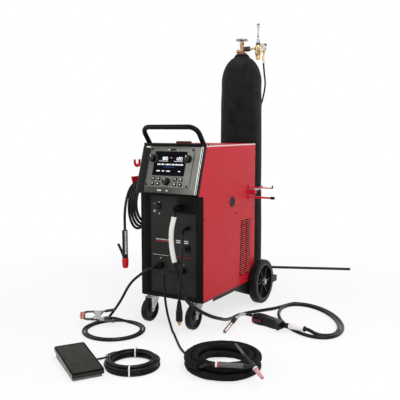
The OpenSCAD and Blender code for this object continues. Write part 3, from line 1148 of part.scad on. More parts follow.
module work_cable() color([0.08, 0.08, 0.08]) place() tube(work_route, work_cable_d, 8);
module mig_cable() color([0.08, 0.08, 0.08]) place() tube(mig_route, mig_cable_d, 8);
module tig_cable() color([0.08, 0.08, 0.08]) place() {
    tube(settled(smooth(torch_lead_points, 2), tig_lead_d), tig_lead_d, 8);
    tube(smooth(torch_link_points, 2), tig_lead_d, 8);
}
module tig_coil() color([0.05, 0.05, 0.05]) place() tube(tig_coil_points, tig_sleeve_d, 6);
module pedal_cord() color([0.12, 0.12, 0.12]) place() tube(settled(smooth(pedal_cord_points, 2), pedal_cord_d), pedal_cord_d, 8);
module pedal_coil() color([0.12, 0.12, 0.12]) place() tube(pedal_coil_points, pedal_cord_d, 6);
module holder_cable() color([0.08, 0.08, 0.08]) place() tube(holder_route, work_cable_d, 6);
power_route = settled(concat(smooth(power_points, 2), power_loops, smooth(power_tail, 2)), power_cord_d);
module power_cord() color([0.06, 0.06, 0.06]) place() tube(power_route, power_cord_d, 8);
module gas_hose() color([0.07, 0.07, 0.07]) place() tube(smooth(hose_points, 2), gas_hose_d, 8);
module polarity_lead() color([0.08, 0.08, 0.08]) place() tube(smooth(lead_points, 2), 13, 8);

// Twist-lock plug along the Y axis: pin into the socket, collar and tapered boot
module lead_plug(p, y_end, boot_d) translate([p[0], 0, p[1]]) {
    translate([0, 4, 0]) rod_y(2 * socket_r - 0.3, panel_recess + 16);
    translate([0, -18, 0]) rod_y(34, 23);
    translate([0, y_end, 0]) rotate([-90, 0, 0]) cylinder(d1 = boot_d + 4, d2 = 30, h = -18 - y_end);
    for (a = [0 : 30 : 359]) rotate([0, a, 0]) translate([16, -16, -1.5]) cube([2.4, 16, 3]);
}
module cable_plugs() color([0.09, 0.09, 0.09]) place() {
    lead_plug(work_at, -42, work_cable_d);
    lead_plug(torch_at, -32, tig_lead_d);
    // Connector of the wire gun, and the white sleeves on its cable
    translate([gun_port[0], 8, gun_port[1]]) rod_y(gun_pin_d, panel_recess + 13);
    aim(mig_start, [gun_port[0], 9, gun_port[1]]) {
        cylinder(d1 = 26, d2 = 36, h = 20);
        translate([0, 0, 20]) cylinder(d = 38, h = 33);
    }
    // Sleeves round the wire gun cable near the cabinet and behind the gun
    tube([for (i = [4 : 14]) mig_route[i]], sleeve_d, 8);
    tube([gun_tail, gun_tail + 0.3 * (gun_sleeve - gun_tail), gun_tail + 0.7 * (gun_sleeve - gun_tail), gun_sleeve], sleeve_d, 8);
    aim(gun_sleeve, gun_tail) translate([0, 0, -6]) cylinder(d = sleeve_d + 2, h = 8);
    // Free twist-lock plug of the polarity lead
    translate([117, -110, 60]) {
        translate([0, 0, 60]) cylinder(d1 = 30, d2 = 19, h = 48);
        translate([0, 0, 8]) cylinder(d = 34, h = 52);
        cylinder(d = 26, h = 9);
        translate([0, 0, -12]) cylinder(d = 2 * socket_r - 0.3, h = 13);
        translate([5, -2, -8]) cube([4, 4, 6]);
    }
    // Plug at the near end of the electrode cable, hanging below its hook
    translate(hank_start[0]) {
        translate([0, 0, -34]) cylinder(d1 = 30, d2 = 19, h = 36);
        translate([0, 0, -72]) cylinder(d = 32, h = 39);
        translate([0, 0, -94]) cylinder(d = 2 * socket_r - 0.3, h = 23);
    }
    // Control plug at the end of the pedal cord
    aim(pedal_end, pedal_end + pedal_heading) {
        translate([0, 0, -1]) cylinder(d = 11, h = 16);
        translate([0, 0, 14]) cylinder(d = 13, h = 18);
        translate([0, 0, 31]) cylinder(d = 11, h = 8);
    }
    // Glands of the mains cord and of the gas hose in the rear panel
    translate([110, case_d - 10, 240]) rod_y(27, 14);
    translate([110, case_d, 240]) rotate([-90, 0, 0]) cylinder(d = 40, h = 8, $fn = 6);
    translate([110, case_d + 7, 240]) rotate([-90, 0, 0]) cylinder(d1 = 28, d2 = 21, h = 21.5);
    translate([-86, case_d - 10, 408]) rod_y(15, 20);
    translate([-86, case_d, 408]) rotate([-90, 0, 0]) cylinder(d = 20, h = 8, $fn = 6);
    translate([-86, case_d + 8, 408]) rod_y(12.5, 12);
    aim([144, bottle_y, neck_z - 57], [143.5, bottle_y + 2, neck_z - 75]) cylinder(d = 13, h = 14);
}
sleeve_d = 26;
gun_tail = [530, 205, 30];
gun_sleeve = [652, 193, 34];
pedal_end = pedal_coil_points[len(pedal_coil_points) - 1];
pedal_heading = unit(pedal_end - pedal_coil_points[len(pedal_coil_points) - 2]);

base_frame();
rear_axle();
front_panel();
case_wrap();
side_door();
rear_panel();
head_housing();
head_fascia();
display_window();
handle();
power_core();
output_sockets();
cable_hooks();
wire_drive();
wire_spool();
knob_left();
knob_right();
knob_select();
button_1();
button_2();
button_3();
button_4();
button_5();
button_6();
button_7();
button_8();
power_switch();
caster_fork_left();
caster_fork_right();
caster_wheel_left();
caster_wheel_right();
rear_wheel_left();
rear_wheel_right();
gas_cylinder();
cylinder_cover();
cylinder_valve();
valve_handwheel();
flow_regulator();
flow_knob();
cylinder_chain();
mig_gun_body();
mig_gun_trigger();
tig_torch();
clamp_jaw_fixed();
clamp_jaw_moving();
holder_body();
holder_lever();
pedal_base();
pedal_plate();
work_cable();
mig_cable();
tig_cable();
tig_coil();
pedal_cord();
pedal_coil();
holder_cable();
power_cord();
gas_hose();
polarity_lead();
cable_plugs();
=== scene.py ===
import math
import bpy
import bmesh
import numpy as np
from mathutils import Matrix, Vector


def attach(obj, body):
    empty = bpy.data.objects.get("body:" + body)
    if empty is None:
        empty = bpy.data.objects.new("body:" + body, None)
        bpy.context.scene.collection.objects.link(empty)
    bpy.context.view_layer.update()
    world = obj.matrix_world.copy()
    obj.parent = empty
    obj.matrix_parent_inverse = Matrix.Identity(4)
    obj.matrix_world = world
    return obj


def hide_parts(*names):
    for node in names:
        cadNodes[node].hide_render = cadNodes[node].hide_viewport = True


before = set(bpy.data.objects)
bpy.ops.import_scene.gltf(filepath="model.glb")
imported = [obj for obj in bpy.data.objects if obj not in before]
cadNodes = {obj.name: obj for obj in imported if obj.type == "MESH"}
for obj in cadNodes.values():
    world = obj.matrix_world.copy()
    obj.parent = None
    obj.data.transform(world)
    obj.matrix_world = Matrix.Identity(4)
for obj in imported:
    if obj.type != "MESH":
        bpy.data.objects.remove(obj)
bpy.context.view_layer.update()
print("frame loaded:", len(cadNodes), "nodes")

# Sizes here are millimetres counted from the floor under the middle of the cabinet's front edge
middleOfOutfit = np.array([168.84, 52.49, 0.0])


def toFrame(points):
    return (np.asarray(points, float) - middleOfOutfit) / 1000


def unit(v):
    v = np.asarray(v, float)
    return v / np.linalg.norm(v, axis=-1, keepdims=True)


def addNode(tree, kind, inputs=None, **settings):
    node = tree.nodes.new(kind)
    for key, value in settings.items():
        setattr(node, key, value)
    for key, value in (inputs or {}).items():
        if isinstance(value, bpy.types.NodeSocket):
            tree.links.new(value, node.inputs[key])
        else:
            node.inputs[key].default_value = value
    return node


def useGroup(tree, group, inputs):
    return addNode(tree, "ShaderNodeGroup", inputs, node_tree=group).outputs


def mathNode(tree, operation, a, b=0.0, clamp=False):
    return addNode(tree, "ShaderNodeMath", {0: a, 1: b}, operation=operation, use_clamp=clamp).outputs[0]


def mixColour(tree, factor, a, b, blend="MIX"):
    return addNode(tree, "ShaderNodeMix", {0: factor, 6: a, 7: b}, data_type="RGBA", blend_type=blend).outputs[2]


def mixValue(tree, factor, a, b):
    return addNode(tree, "ShaderNodeMix", {0: factor, 2: a, 3: b}, data_type="FLOAT").outputs[0]


def grey(tree, level):
    return addNode(tree, "ShaderNodeCombineColor", {0: level, 1: level, 2: level}).outputs[0]


def bumped(tree, given, height, strength):
    return addNode(tree, "ShaderNodeBump", {"Height": height, "Distance": given["Depth"], "Strength": strength,
        "Normal": given["Normal"]}).outputs[0]


def newMaterial(name):  # with its tree, its shader and the place of the point being shaded
    material = bpy.data.materials.new(name)
    material.use_nodes = True
    tree = material.node_tree
    return material, tree, tree.nodes["Principled BSDF"], addNode(tree, "ShaderNodeTexCoord").outputs["Object"]


def newGroup(name, inputs, outputs):
    tree = bpy.data.node_groups.new(name, "ShaderNodeTree")
    for label, kind, value in inputs:
        tree.interface.new_socket(label, in_out="INPUT", socket_type="NodeSocket" + kind).default_value = value
    for label, kind in outputs:
        tree.interface.new_socket(label, in_out="OUTPUT", socket_type="NodeSocket" + kind)
    return tree, tree.nodes.new("NodeGroupInput").outputs, tree.nodes.new("NodeGroupOutput").inputs


def within(tree, distance, low, high, blend):  # 1 between low and high, with soft ends
    rising = mathNode(tree, "DIVIDE", mathNode(tree, "SUBTRACT", distance, low), blend, True)
    falling = mathNode(tree, "DIVIDE", mathNode(tree, "SUBTRACT", high, distance), blend, True)
    return mathNode(tree, "MULTIPLY", rising, falling)


def makeBandMask():  # how far along a direction a point lies, kept between two limits
    tree, given, made = newGroup("bandMask", [("Position", "Vector", (0, 0, 0)), ("Direction", "Vector", (0, 0, 1)),
        ("Low", "Float", 0), ("High", "Float", 1), ("Blend", "Float", 0.0005)], [("Mask", "Float")])
    along = addNode(tree, "ShaderNodeVectorMath",
        {0: given["Position"], 1: given["Direction"]}, operation="DOT_PRODUCT")
    tree.links.new(within(tree, along.outputs["Value"], given["Low"], given["High"], given["Blend"]), made["Mask"])
    return tree


def makeRingMask():  # how far from an axis a point lies, kept between two limits
    tree, given, made = newGroup("ringMask", [("Position", "Vector", (0, 0, 0)),
        ("Centre", "Vector", (0, 0, 0)), ("Axis", "Vector", (0, 0, 1)), ("Low", "Float", 0),
        ("High", "Float", 1), ("Blend", "Float", 0.0005)], [("Mask", "Float")])
    arm = addNode(tree, "ShaderNodeVectorMath", {0: given["Position"], 1: given["Centre"]}, operation="SUBTRACT")
    across = addNode(tree, "ShaderNodeVectorMath", {0: arm.outputs[0], 1: given["Axis"]}, operation="CROSS_PRODUCT")
    away = addNode(tree, "ShaderNodeVectorMath", {0: across.outputs[0]}, operation="LENGTH")
    tree.links.new(within(tree, away.outputs["Value"], given["Low"], given["High"], given["Blend"]), made["Mask"])
    return tree


def makeTone():  # slow and quick noise together, spread between two values
    tree, given, made = newGroup("toneSpread", [("Position", "Vector", (0, 0, 0)), ("Scale", "Float", 9),
        ("Low", "Float", 0.85), ("High", "Float", 1.1)], [("Tone", "Float")])
    slow = addNode(tree, "ShaderNodeTexNoise", {"Vector": given["Position"], "Scale": given["Scale"], "Detail": 3.0})
    quick = addNode(tree, "ShaderNodeTexNoise", {"Vector": given["Position"],
        "Scale": mathNode(tree, "MULTIPLY", given["Scale"], 11.0), "Detail": 4.0, "Roughness": 0.65})
    both = mathNode(tree, "ADD", mathNode(tree, "MULTIPLY", slow.outputs["Fac"], 0.6),
        mathNode(tree, "MULTIPLY", quick.outputs["Fac"], 0.4))
    spread = addNode(tree, "ShaderNodeMapRange", {"Value": both, "From Min": 0.36, "From Max": 0.64,
        "To Min": given["Low"], "To Max": given["High"]})
    tree.links.new(spread.outputs["Result"], made["Tone"])
    return tree


def makeGrain():  # moulded or sprayed grain as a bump
    tree, given, made = newGroup("surfaceGrain", [("Position", "Vector", (0, 0, 0)), ("Scale", "Float", 600),
        ("Depth", "Float", 0.0001), ("Normal", "Vector", (0, 0, 0))], [("Normal", "Vector"), ("Height", "Float")])
    fine = addNode(tree, "ShaderNodeTexNoise", {"Vector": given["Position"], "Scale": given["Scale"], "Detail": 2.0})
    tree.links.new(bumped(tree, given, fine.outputs["Fac"], 1.0), made["Normal"])
    tree.links.new(fine.outputs["Fac"], made["Height"])
    return tree


def makeEdgeWearAndHighlight():  # rounds the look of hard edges, and lightens them where they are rubbed and with a painted highlight along them
    tree, given, made = newGroup("edgeWearAndHighlight", [("Position", "Vector", (0, 0, 0)), ("Radius", "Float", 0.002),
        ("Amount", "Float", 0.5)], [("Normal", "Vector"), ("RubbedAndHighlight", "Float")])
    soft = addNode(tree, "ShaderNodeBevel", {"Radius": given["Radius"]}, samples=4)
    hard = addNode(tree, "ShaderNodeNewGeometry")
    same = addNode(tree, "ShaderNodeVectorMath",
        {0: soft.outputs[0], 1: hard.outputs["Normal"]}, operation="DOT_PRODUCT")
    bent = mathNode(tree, "SUBTRACT", 1.0, same.outputs["Value"])
    patchy = addNode(tree, "ShaderNodeTexNoise", {"Vector": given["Position"], "Scale": 60.0, "Detail": 5.0})
    edge = mathNode(tree, "MULTIPLY", mathNode(tree, "MULTIPLY", bent, 6.0, True),
        mathNode(tree, "MULTIPLY", mathNode(tree, "SUBTRACT", patchy.outputs["Fac"], 0.42), 5.0, True))
    tree.links.new(mathNode(tree, "MULTIPLY", edge, given["Amount"]), made["RubbedAndHighlight"])
    tree.links.new(soft.outputs[0], made["Normal"])
    return tree


def makeWeave():  # over and under threads: two waves at right angles, each lifting where the other dips
    tree, given, made = newGroup("clothWeave", [("Thread", "Vector", (0, 0, 0)), ("Pitch", "Float", 0.002),
        ("Depth", "Float", 0.0003), ("Normal", "Vector", (0, 0, 0))], [("Normal", "Vector"), ("Height", "Float")])
    part = addNode(tree, "ShaderNodeSeparateXYZ", {0: given["Thread"]})
    waves = []
    for axis in ("X", "Y"):
        turns = mathNode(tree, "MULTIPLY", mathNode(tree, "DIVIDE", part.outputs[axis], given["Pitch"]), math.pi)
        waves.append(mathNode(tree, "SINE", turns))
    crossed = mathNode(tree, "MULTIPLY", waves[0], waves[1])
    height = mathNode(tree, "MULTIPLY", mathNode(tree, "ADD", crossed, 1.0), 0.5)
    tree.links.new(bumped(tree, given, height, 0.9), made["Normal"])
    tree.links.new(height, made["Height"])
    return tree


def makeBrushed():  # fine streaks along one axis
    tree, given, made = newGroup("brushedStreaks", [("Position", "Vector", (0, 0, 0)),
        ("Stretch", "Vector", (900, 900, 20)), ("Depth", "Float", 0.00004), ("Normal", "Vector", (0, 0, 0))],
        [("Normal", "Vector"), ("Streak", "Float")])
    drawn = addNode(tree, "ShaderNodeVectorMath", {0: given["Position"], 1: given["Stretch"]}, operation="MULTIPLY")
    streak = addNode(tree, "ShaderNodeTexNoise", {"Vector": drawn.outputs[0], "Scale": 1.0, "Detail": 3.0})
    tree.links.new(bumped(tree, given, streak.outputs["Fac"], 0.6), made["Normal"])
    tree.links.new(streak.outputs["Fac"], made["Streak"])
    return tree


bandMask, ringMask, toneSpread = makeBandMask(), makeRingMask(), makeTone()
surfaceGrain, edgeWearAndHighlight, clothWeave, brushedStreaks = makeGrain(), makeEdgeWearAndHighlight(), makeWeave(), makeBrushed()


far = 1e5
acrossWay, backWay, upWay = (1, 0, 0), (0, 1, 0), (0, 0, 1)


def band(direction, low, high, blend=0.5):  # the points between two distances along a direction, in millimetres
    direction = np.array(direction, float)
    shift = float(direction @ middleOfOutfit)
    return bandMask, {"Direction": tuple(direction), "Low": (low - shift) / 1000, "High": (high - shift) / 1000,
        "Blend": blend / 1000}


def ring(centre, axis, low, high):  # the points between two distances from an axis, in millimetres
    return ringMask, {"Centre": tuple(toFrame(centre)),
        "Axis": tuple(unit(axis)), "Low": low / 1000, "High": high / 1000}


def zone(colour, roughness, *where, **more):  # another finish where all the given bands and rings meet
    return {"colour": colour, "roughness": roughness, "where": where, **more}


def zoneMask(tree, position, where):
    mask = None
    for group, limits in where:
        found = useGroup(tree, group, {"Position": position, **limits})["Mask"]
        mask = found if mask is None else mathNode(tree, "MULTIPLY", mask, found)
    return mask


looks = {}  # every finish by its name


def finish(name, colour, roughness, metallic=0.0, tone=(7, 0.86, 1.1), grain=(500, 0.0001), edge=None,
        brushed=None, weave=None, zones=(), specular=0.5, glow=0.0):
    # tone: scale, low, high; grain: scale, depth; edge: radius, amount and colour of rubbed wear and painted edge
    # highlight;
    # brushed: stretch, depth; weave: pitch of the threads, depth; zones: places with another finish
    material, tree, shader, position = newMaterial(name)
    colourNow, roughNow, metalNow, normalNow = (*colour, 1), roughness, metallic, None
    for place in zones:
        mask = zoneMask(tree, position, place["where"])
        colourNow = mixColour(tree, mask, colourNow, (*place["colour"], 1))
        roughNow = mixValue(tree, mask, roughNow, place["roughness"])
        metalNow = mixValue(tree, mask, metalNow, place.get("metallic", metallic))
    if edge:
        edges = useGroup(tree, edgeWearAndHighlight, {"Position": position, "Radius": edge[0], "Amount": edge[1]})
        normalNow = edges["Normal"]
        colourNow = mixColour(tree, edges["RubbedAndHighlight"], colourNow, (*edge[2], 1))
    toned = useGroup(tree, toneSpread, {"Position": position, "Scale": tone[0],
        "Low": tone[1], "High": tone[2]})["Tone"]
    colourNow = mixColour(tree, 1.0, colourNow, grey(tree, toned), "MULTIPLY")
    worn = useGroup(tree, toneSpread, {"Position": position, "Scale": tone[0] * 2.3,
        "Low": 1.18, "High": 0.84})["Tone"]
    roughNow = mathNode(tree, "MULTIPLY", roughNow, worn, True)
    for group, source, labels, values in ((surfaceGrain, "Position", ("Scale", "Depth"), grain),
            (brushedStreaks, "Position", ("Stretch", "Depth"), brushed),
            (clothWeave, "Thread", ("Pitch", "Depth"), weave)):
        if values:
            point = addNode(tree, "ShaderNodeUVMap", uv_map="run").outputs[0] if source == "Thread" else position
            values = {source: point, **dict(zip(labels, values))}
            if normalNow:
                values["Normal"] = normalNow
            out = useGroup(tree, group, values)
            normalNow = out["Normal"]
            # the weave's colour follows its height: painted shade in the dips between threads, painted highlight on
            # their tops
            if source == "Thread":
                shade = mathNode(tree, "ADD", mathNode(tree, "MULTIPLY", out["Height"], 0.5), 0.75)
                colourNow = mixColour(tree, 1.0, colourNow, grey(tree, shade), "MULTIPLY")
    for key, value in (("Base Color", colourNow), ("Roughness", roughNow),
            ("Metallic", metalNow), ("Normal", normalNow)):
        if isinstance(value, bpy.types.NodeSocket):
            tree.links.new(value, shader.inputs[key])
        elif value is not None:
            shader.inputs[key].default_value = value
    shader.inputs["Specular IOR Level"].default_value = specular
    if glow:
        tree.links.new(colourNow, shader.inputs["Emission Color"])
        shader.inputs["Emission Strength"].default_value = glow
    looks[name] = material


# The control face: its outward and upward directions, and how far its foot lies along each
face = {"lean": 17.9, "height": 250, "frontEdge": -70.0, "top": 927}
headLean = math.radians(face["lean"])
faceOut = np.array([0, -math.cos(headLean), math.sin(headLean)])
faceUp = np.array([0, math.sin(headLean), math.cos(headLean)])
faceFoot = np.array([0, face["frontEdge"], face["top"] - face["height"] * math.cos(headLean)])
outAtFace, upAtFoot = float(faceFoot @ faceOut), float(faceFoot @ faceUp)
faceAxes = np.array([[1, 0, 0], faceUp, faceOut])


def onFace(x, up, out):  # a place on the control face: across, up the slope, out of it
    return faceFoot + np.array([x, 0, 0]) + faceUp * up + faceOut * out


# Where the hand tools lie: a finish changes at distances along its tool
torchTail, torchHead, torchCup = np.array([545, -506, 73.5]), np.array([682, -438, 70.5]), np.array([736, -470, 45.5])
torchRun, cupRun = unit(torchHead - torchTail), unit(torchCup - torchHead)
torchFrom, cupFrom = float(torchTail @ torchRun), float(torchHead @ cupRun)
gunTip, gunBend = np.array([312, -20, 12.0]), np.array([300, 130, 42.0])
gunRun = unit(gunTip - gunBend)
gunAt = float(gunBend @ gunRun)
clampTurn, clampAt = math.radians(-149), np.array([-318, -205, 52.0])
clampForward = np.array([math.cos(clampTurn), math.sin(clampTurn), 0])
clampFrom = float(clampAt @ clampForward)
pedalTurn, pedalAt = math.radians(57.6), np.array([-36, -667, 0.0])
pedalSide = np.array([math.cos(pedalTurn), math.sin(pedalTurn), 0])
pedalFrom = float(pedalAt @ pedalSide)

# The hubs that the finishes of the wheels and the spool are measured from
rearHub, casterHub, spoolHub = (0, 606, 127), (0, -5, 63.5), (0, 450, 710)
black = (0.006, 0.006, 0.0065)
finish("redPaint", (0.53, 0.013, 0.024), 0.3, tone=(3, 0.94, 1.05), grain=(420, 0.00005), specular=0.14,
    edge=(0.0035, 0.35, (0.72, 0.16, 0.17)), zones=[
        # the top face left of the fold is painted near black: painted shade
        zone((0.1, 0.004, 0.008), 0.85, band(upWay, 926.8, 927.5), band(acrossWay, -far, 187)),
        # a pale, glossy band along the top fold of the right side: painted highlight
        zone((0.95, 0.82, 0.8), 0.2, band(upWay, 919.5, far), band(acrossWay, 187.5, 190.35),
            band(backWay, 12, 590)),
        zone(black, 0.3, band(acrossWay, 190.4, far), band(backWay, -far, 395)),
        zone((0.12, 0.005, 0.01), 0.6, band(upWay, 927.6, far), band(backWay, 250, 350)),
        zone(black, 0.6, band(upWay, 936, far), band(backWay, 250, 350))])
# a lighter copy of the red paint for the louvre hoods and the rear bead: painted highlight
finish("louvreHighlightPaint", (0.66, 0.06, 0.068), 0.3, tone=(3, 0.94, 1.05), grain=(420, 0.00005), specular=0.2)
finish("doorPaint", (0.53, 0.013, 0.024), 0.3, tone=(3, 0.94, 1.05), grain=(420, 0.00005), specular=0.14,
    edge=(0.0025, 0.35, (0.72, 0.16, 0.17)), zones=[
        zone(black, 0.36, band((-1, 0, 0), 191.5, far), band(backWay, 200, 300))])
finish("greyPaint", (0.016, 0.0165, 0.018), 0.4, tone=(6, 0.8, 1.2), grain=(380, 0.0001), specular=0.2,
    edge=(0.002, 0.5, (0.14, 0.14, 0.15)))
finish("blackPaint", (0.003, 0.003, 0.0035), 0.13, tone=(9, 0.8, 1.2), grain=(320, 0.00006), specular=0.1)
finish("bezelPlastic", (0.0055, 0.006, 0.006), 0.4, tone=(5, 0.8, 1.25), grain=(700, 0.00014), specular=0.08,
    edge=(0.003, 0.35, (0.035, 0.036, 0.036)))
finish("panelPlastic", (0.0055, 0.0056, 0.0054), 0.4, tone=(5, 0.8, 1.25), grain=(700, 0.00014), specular=0.08,
    edge=(0.003, 0.35, (0.035, 0.036, 0.036)), zones=[
        zone((0.034, 0.033, 0.03), 0.46, band(backWay, 14.6, 15.6), band(acrossWay, -138, 139),
            band(upWay, 154.5, 667.5))])
finish("fasciaPrint", (0.19, 0.192, 0.168), 0.4, 0.3, tone=(2.2, 0.8, 1.2), grain=(900, 0.00004), specular=0.2,
    brushed=((14, 900, 900), 0.00003), edge=(0.0012, 0.5, (0.3, 0.3, 0.27)), zones=[
        zone((0.084, 0.085, 0.075), 0.38, band(acrossWay, -far, 150, 260.0), metallic=0.3),
        zone((0.03, 0.03, 0.027), 0.36, band(faceUp, -far, upAtFoot + 34, 8.0),
            band(acrossWay, -far, 168, 160.0), metallic=0.1)])
finish("faceTrim", (0.93, 0.93, 0.92), 0.3, 1.0, tone=(30, 0.85, 1.08), grain=(300, 0.00004),
    brushed=((14, 900, 900), 0.00004))
finish("screen", (0.0014, 0.0015, 0.003), 0.09, tone=(8, 0.8, 1.3), grain=(260, 0.00001), specular=0.02)
finish("knobPlastic", (0.004, 0.004, 0.0045), 0.36, grain=(900, 0.00008), specular=0.1,
    edge=(0.001, 0.4, (0.045, 0.045, 0.045)), zones=[
        zone((0.82, 0.82, 0.8), 0.5, band(faceOut, outAtFace + 3.1, outAtFace + 3.8), band(upWay, 720, 775))])
finish("dialPlastic", (0.0045, 0.0045, 0.005), 0.26, grain=(900, 0.00008), specular=0.17,
    edge=(0.001, 0.4, (0.06, 0.06, 0.06)))
finish("chassisMetal", (0.5, 0.5, 0.51), 0.4, 0.9, tone=(12, 0.7, 1.1), brushed=((600, 30, 600), 0.00005))
finish("zinc", (0.5, 0.51, 0.53), 0.28, 1.0, tone=(25, 0.66, 1.15), grain=(260, 0.00006),
    edge=(0.001, 0.3, (0.8, 0.8, 0.8)))
finish("tyre", (0.006, 0.006, 0.006), 0.46, tone=(14, 0.7, 1.5), grain=(350, 0.0002), specular=0.13, zones=[
        zone((0.009, 0.009, 0.0095), 0.24, ring(rearHub, acrossWay, 0, 104)),
        zone((0.06, 0.06, 0.06), 0.3, ring(rearHub, acrossWay, 97, 103)),
        zone((0.12, 0.12, 0.125), 0.3, ring(rearHub, acrossWay, 0, 22.6), metallic=0.7)])
finish("casterTread", (0.006, 0.006, 0.006), 0.44, tone=(20, 0.7, 1.6), grain=(400, 0.0001), specular=0.16,
    zones=[
        zone((0.012, 0.012, 0.0125), 0.28, ring(casterHub, acrossWay, 0, 48)),
        zone((0.3, 0.3, 0.3), 0.35, ring(casterHub, acrossWay, 0, 13.2), metallic=0.9)])
finish("hookRed", (0.56, 0.008, 0.026), 0.28, tone=(10, 0.88, 1.08), grain=(300, 0.0001), specular=0.24,
    edge=(0.0015, 0.3, (0.8, 0.25, 0.25)), zones=[
        zone((0.008, 0.008, 0.008), 0.5, band(acrossWay, 313, far))])
finish("driveMetal", (0.3, 0.3, 0.32), 0.42, 0.8, tone=(20, 0.8, 1.15), edge=(0.001, 0.4, (0.6, 0.6, 0.6)))
finish("woundWire", (0.03, 0.03, 0.032), 0.4, tone=(20, 0.85, 1.1), brushed=((900, 10, 10), 0.0004), zones=[
        zone((0.55, 0.36, 0.2), 0.28, ring(spoolHub, acrossWay, 60, 84.6), band(acrossWay, -16, 80),
            metallic=1.0)])
finish("bottlePaint", (0.2, 0.055, 0.035), 0.45, 0.25, tone=(16, 0.6, 1.3), grain=(200, 0.0002))
finish("valveBronze", (0.31, 0.2, 0.115), 0.24, 1.0, tone=(40, 0.45, 1.4), grain=(300, 0.00015),
    edge=(0.001, 0.4, (0.8, 0.56, 0.3)), zones=[
        zone((0.02, 0.018, 0.016), 0.35, band(acrossWay, 17.8, 55), band(upWay, 1465, 1500), metallic=0.6)])
finish("brightWheel", (0.3, 0.26, 0.23), 0.16, 1.0, tone=(45, 0.45, 1.6), grain=(240, 0.00008),
    edge=(0.0012, 0.6, (0.75, 0.66, 0.56)))
finish("gunPlastic", (0.007, 0.008, 0.013), 0.34, tone=(25, 0.85, 1.2), grain=(800, 0.0001), specular=0.16,
    edge=(0.0012, 0.35, (0.07, 0.07, 0.09)), zones=[
        zone((0.4, 0.4, 0.42), 0.22, band((0, -1, 0), -249, -131), band((-1, 0, 0), -345, -200),
            band(upWay, 20, 55), metallic=1.0),
        zone((0.5, 0.44, 0.41), 0.24, band(gunRun, gunAt + 52, far), metallic=1.0),
        zone((0.16, 0.08, 0.06), 0.3, band(gunRun, gunAt + 64, gunAt + 74), metallic=1.0),
        zone((0.03, 0.025, 0.025), 0.5, band(gunRun, gunAt + 138, far), metallic=0.3)])
finish("triggerRed", (0.09, 0.006, 0.016), 0.24, tone=(30, 0.85, 1.15), grain=(500, 0.00005), specular=0.3)
finish("torchRubber", (0.105, 0.11, 0.115), 0.5, tone=(30, 0.85, 1.15), grain=(700, 0.0001), specular=0.2,
    zones=[
        zone(black, 0.5, band(torchRun, -far, torchFrom), band(cupRun, -far, cupFrom - 60)),
        zone((0.78, 0.78, 0.77), 0.4, band(torchRun, torchFrom - 0.2, torchFrom + 7.5)),
        zone((0.6, 0.02, 0.03), 0.35, band(torchRun, torchFrom + 8.8, torchFrom + 14)),
        zone((0.008, 0.008, 0.0085), 0.4, band(torchRun, torchFrom + 111.6, far)),
        zone((0.82, 0.8, 0.78), 0.35, band(cupRun, cupFrom + 12, cupFrom + 19)),
        zone((0.62, 0.3, 0.33), 0.34, band(cupRun, cupFrom + 19, far))])
finish("clampSteel", (0.42, 0.44, 0.44), 0.26, 1.0, tone=(30, 0.55, 1.25), grain=(300, 0.0001),
    edge=(0.0008, 0.4, (0.75, 0.75, 0.75)), zones=[
        zone((0.01, 0.01, 0.011), 0.4, band(clampForward, clampFrom + 24, far), metallic=0.0),
        zone((0.55, 0.24, 0.17), 0.22, band(clampForward, clampFrom + 72, far, 4.0), metallic=1.0),
        zone((0.12, 0.05, 0.04), 0.5, band(clampForward, clampFrom + 84, clampFrom + 88), metallic=0.6),
        zone((0.008, 0.008, 0.009), 0.5, band(-clampForward, -clampFrom + 32, far), metallic=0.0)])
finish("holderPlastic", (0.0065, 0.0065, 0.007), 0.38, tone=(25, 0.85, 1.2), grain=(600, 0.0001), specular=0.16,
    edge=(0.0012, 0.3, (0.06, 0.06, 0.06)), zones=[
        zone((0.55, 0.01, 0.018), 0.36, band(upWay, -far, 333)),
        # silver-grey on the handle's side towards the lamps: the grey handle's own colour, and a painted highlight
        zone((0.42, 0.42, 0.44), 0.3, band(upWay, 355, 478), band(acrossWay, -250, -200), metallic=0.8)])
finish("leverPlastic", (0.0065, 0.0065, 0.007), 0.38, tone=(25, 0.85, 1.2), grain=(600, 0.0001), specular=0.16,
    edge=(0.0012, 0.3, (0.06, 0.06, 0.06)))
finish("pedalGrey", (0.17, 0.17, 0.155), 0.42, tone=(12, 0.8, 1.15), grain=(500, 0.00012), specular=0.25,
    edge=(0.001, 0.4, (0.42, 0.42, 0.4)))
finish("pedalDark", (0.022, 0.021, 0.018), 0.46, tone=(8, 0.82, 1.18), grain=(620, 0.0003), specular=0.18,
    zones=[
        zone((0.22, 0.22, 0.2), 0.35, band(-pedalSide, 66.6 - pedalFrom, far), band(upWay, -far, 38))])
finish("pedalMat", (0.0235, 0.0225, 0.0185), 0.6, tone=(30, 0.75, 1.3), grain=(520, 0.0008), specular=0.12)
finish("cableRubber", (0.0048, 0.0048, 0.0048), 0.24, tone=(18, 0.7, 1.5), grain=(520, 0.0001), specular=0.17)
finish("sleeveCloth", (0.0075, 0.0075, 0.0075), 0.7, tone=(22, 0.6, 1.6), grain=None, weave=(0.0032, 0.0008),
    specular=0.06)
finish("coverCloth", (0.0105, 0.0105, 0.0112), 0.55, tone=(16, 0.55, 1.5), grain=(900, 0.0001),
    weave=(0.0022, 0.0004), specular=0.06)
finish("plugPlastic", (0.005, 0.005, 0.0055), 0.34, tone=(20, 0.8, 1.3), grain=(700, 0.0001), specular=0.14,
    edge=(0.0012, 0.3, (0.05, 0.05, 0.05)))
finish("whiteSleeve", (0.82, 0.82, 0.8), 0.34, tone=(14, 0.93, 1.04), grain=(300, 0.0001), specular=0.3)
finish("brassFitting", (0.52, 0.36, 0.16), 0.24, 1.0, tone=(35, 0.6, 1.25), grain=(260, 0.0001),
    edge=(0.0008, 0.3, (0.9, 0.7, 0.38)))
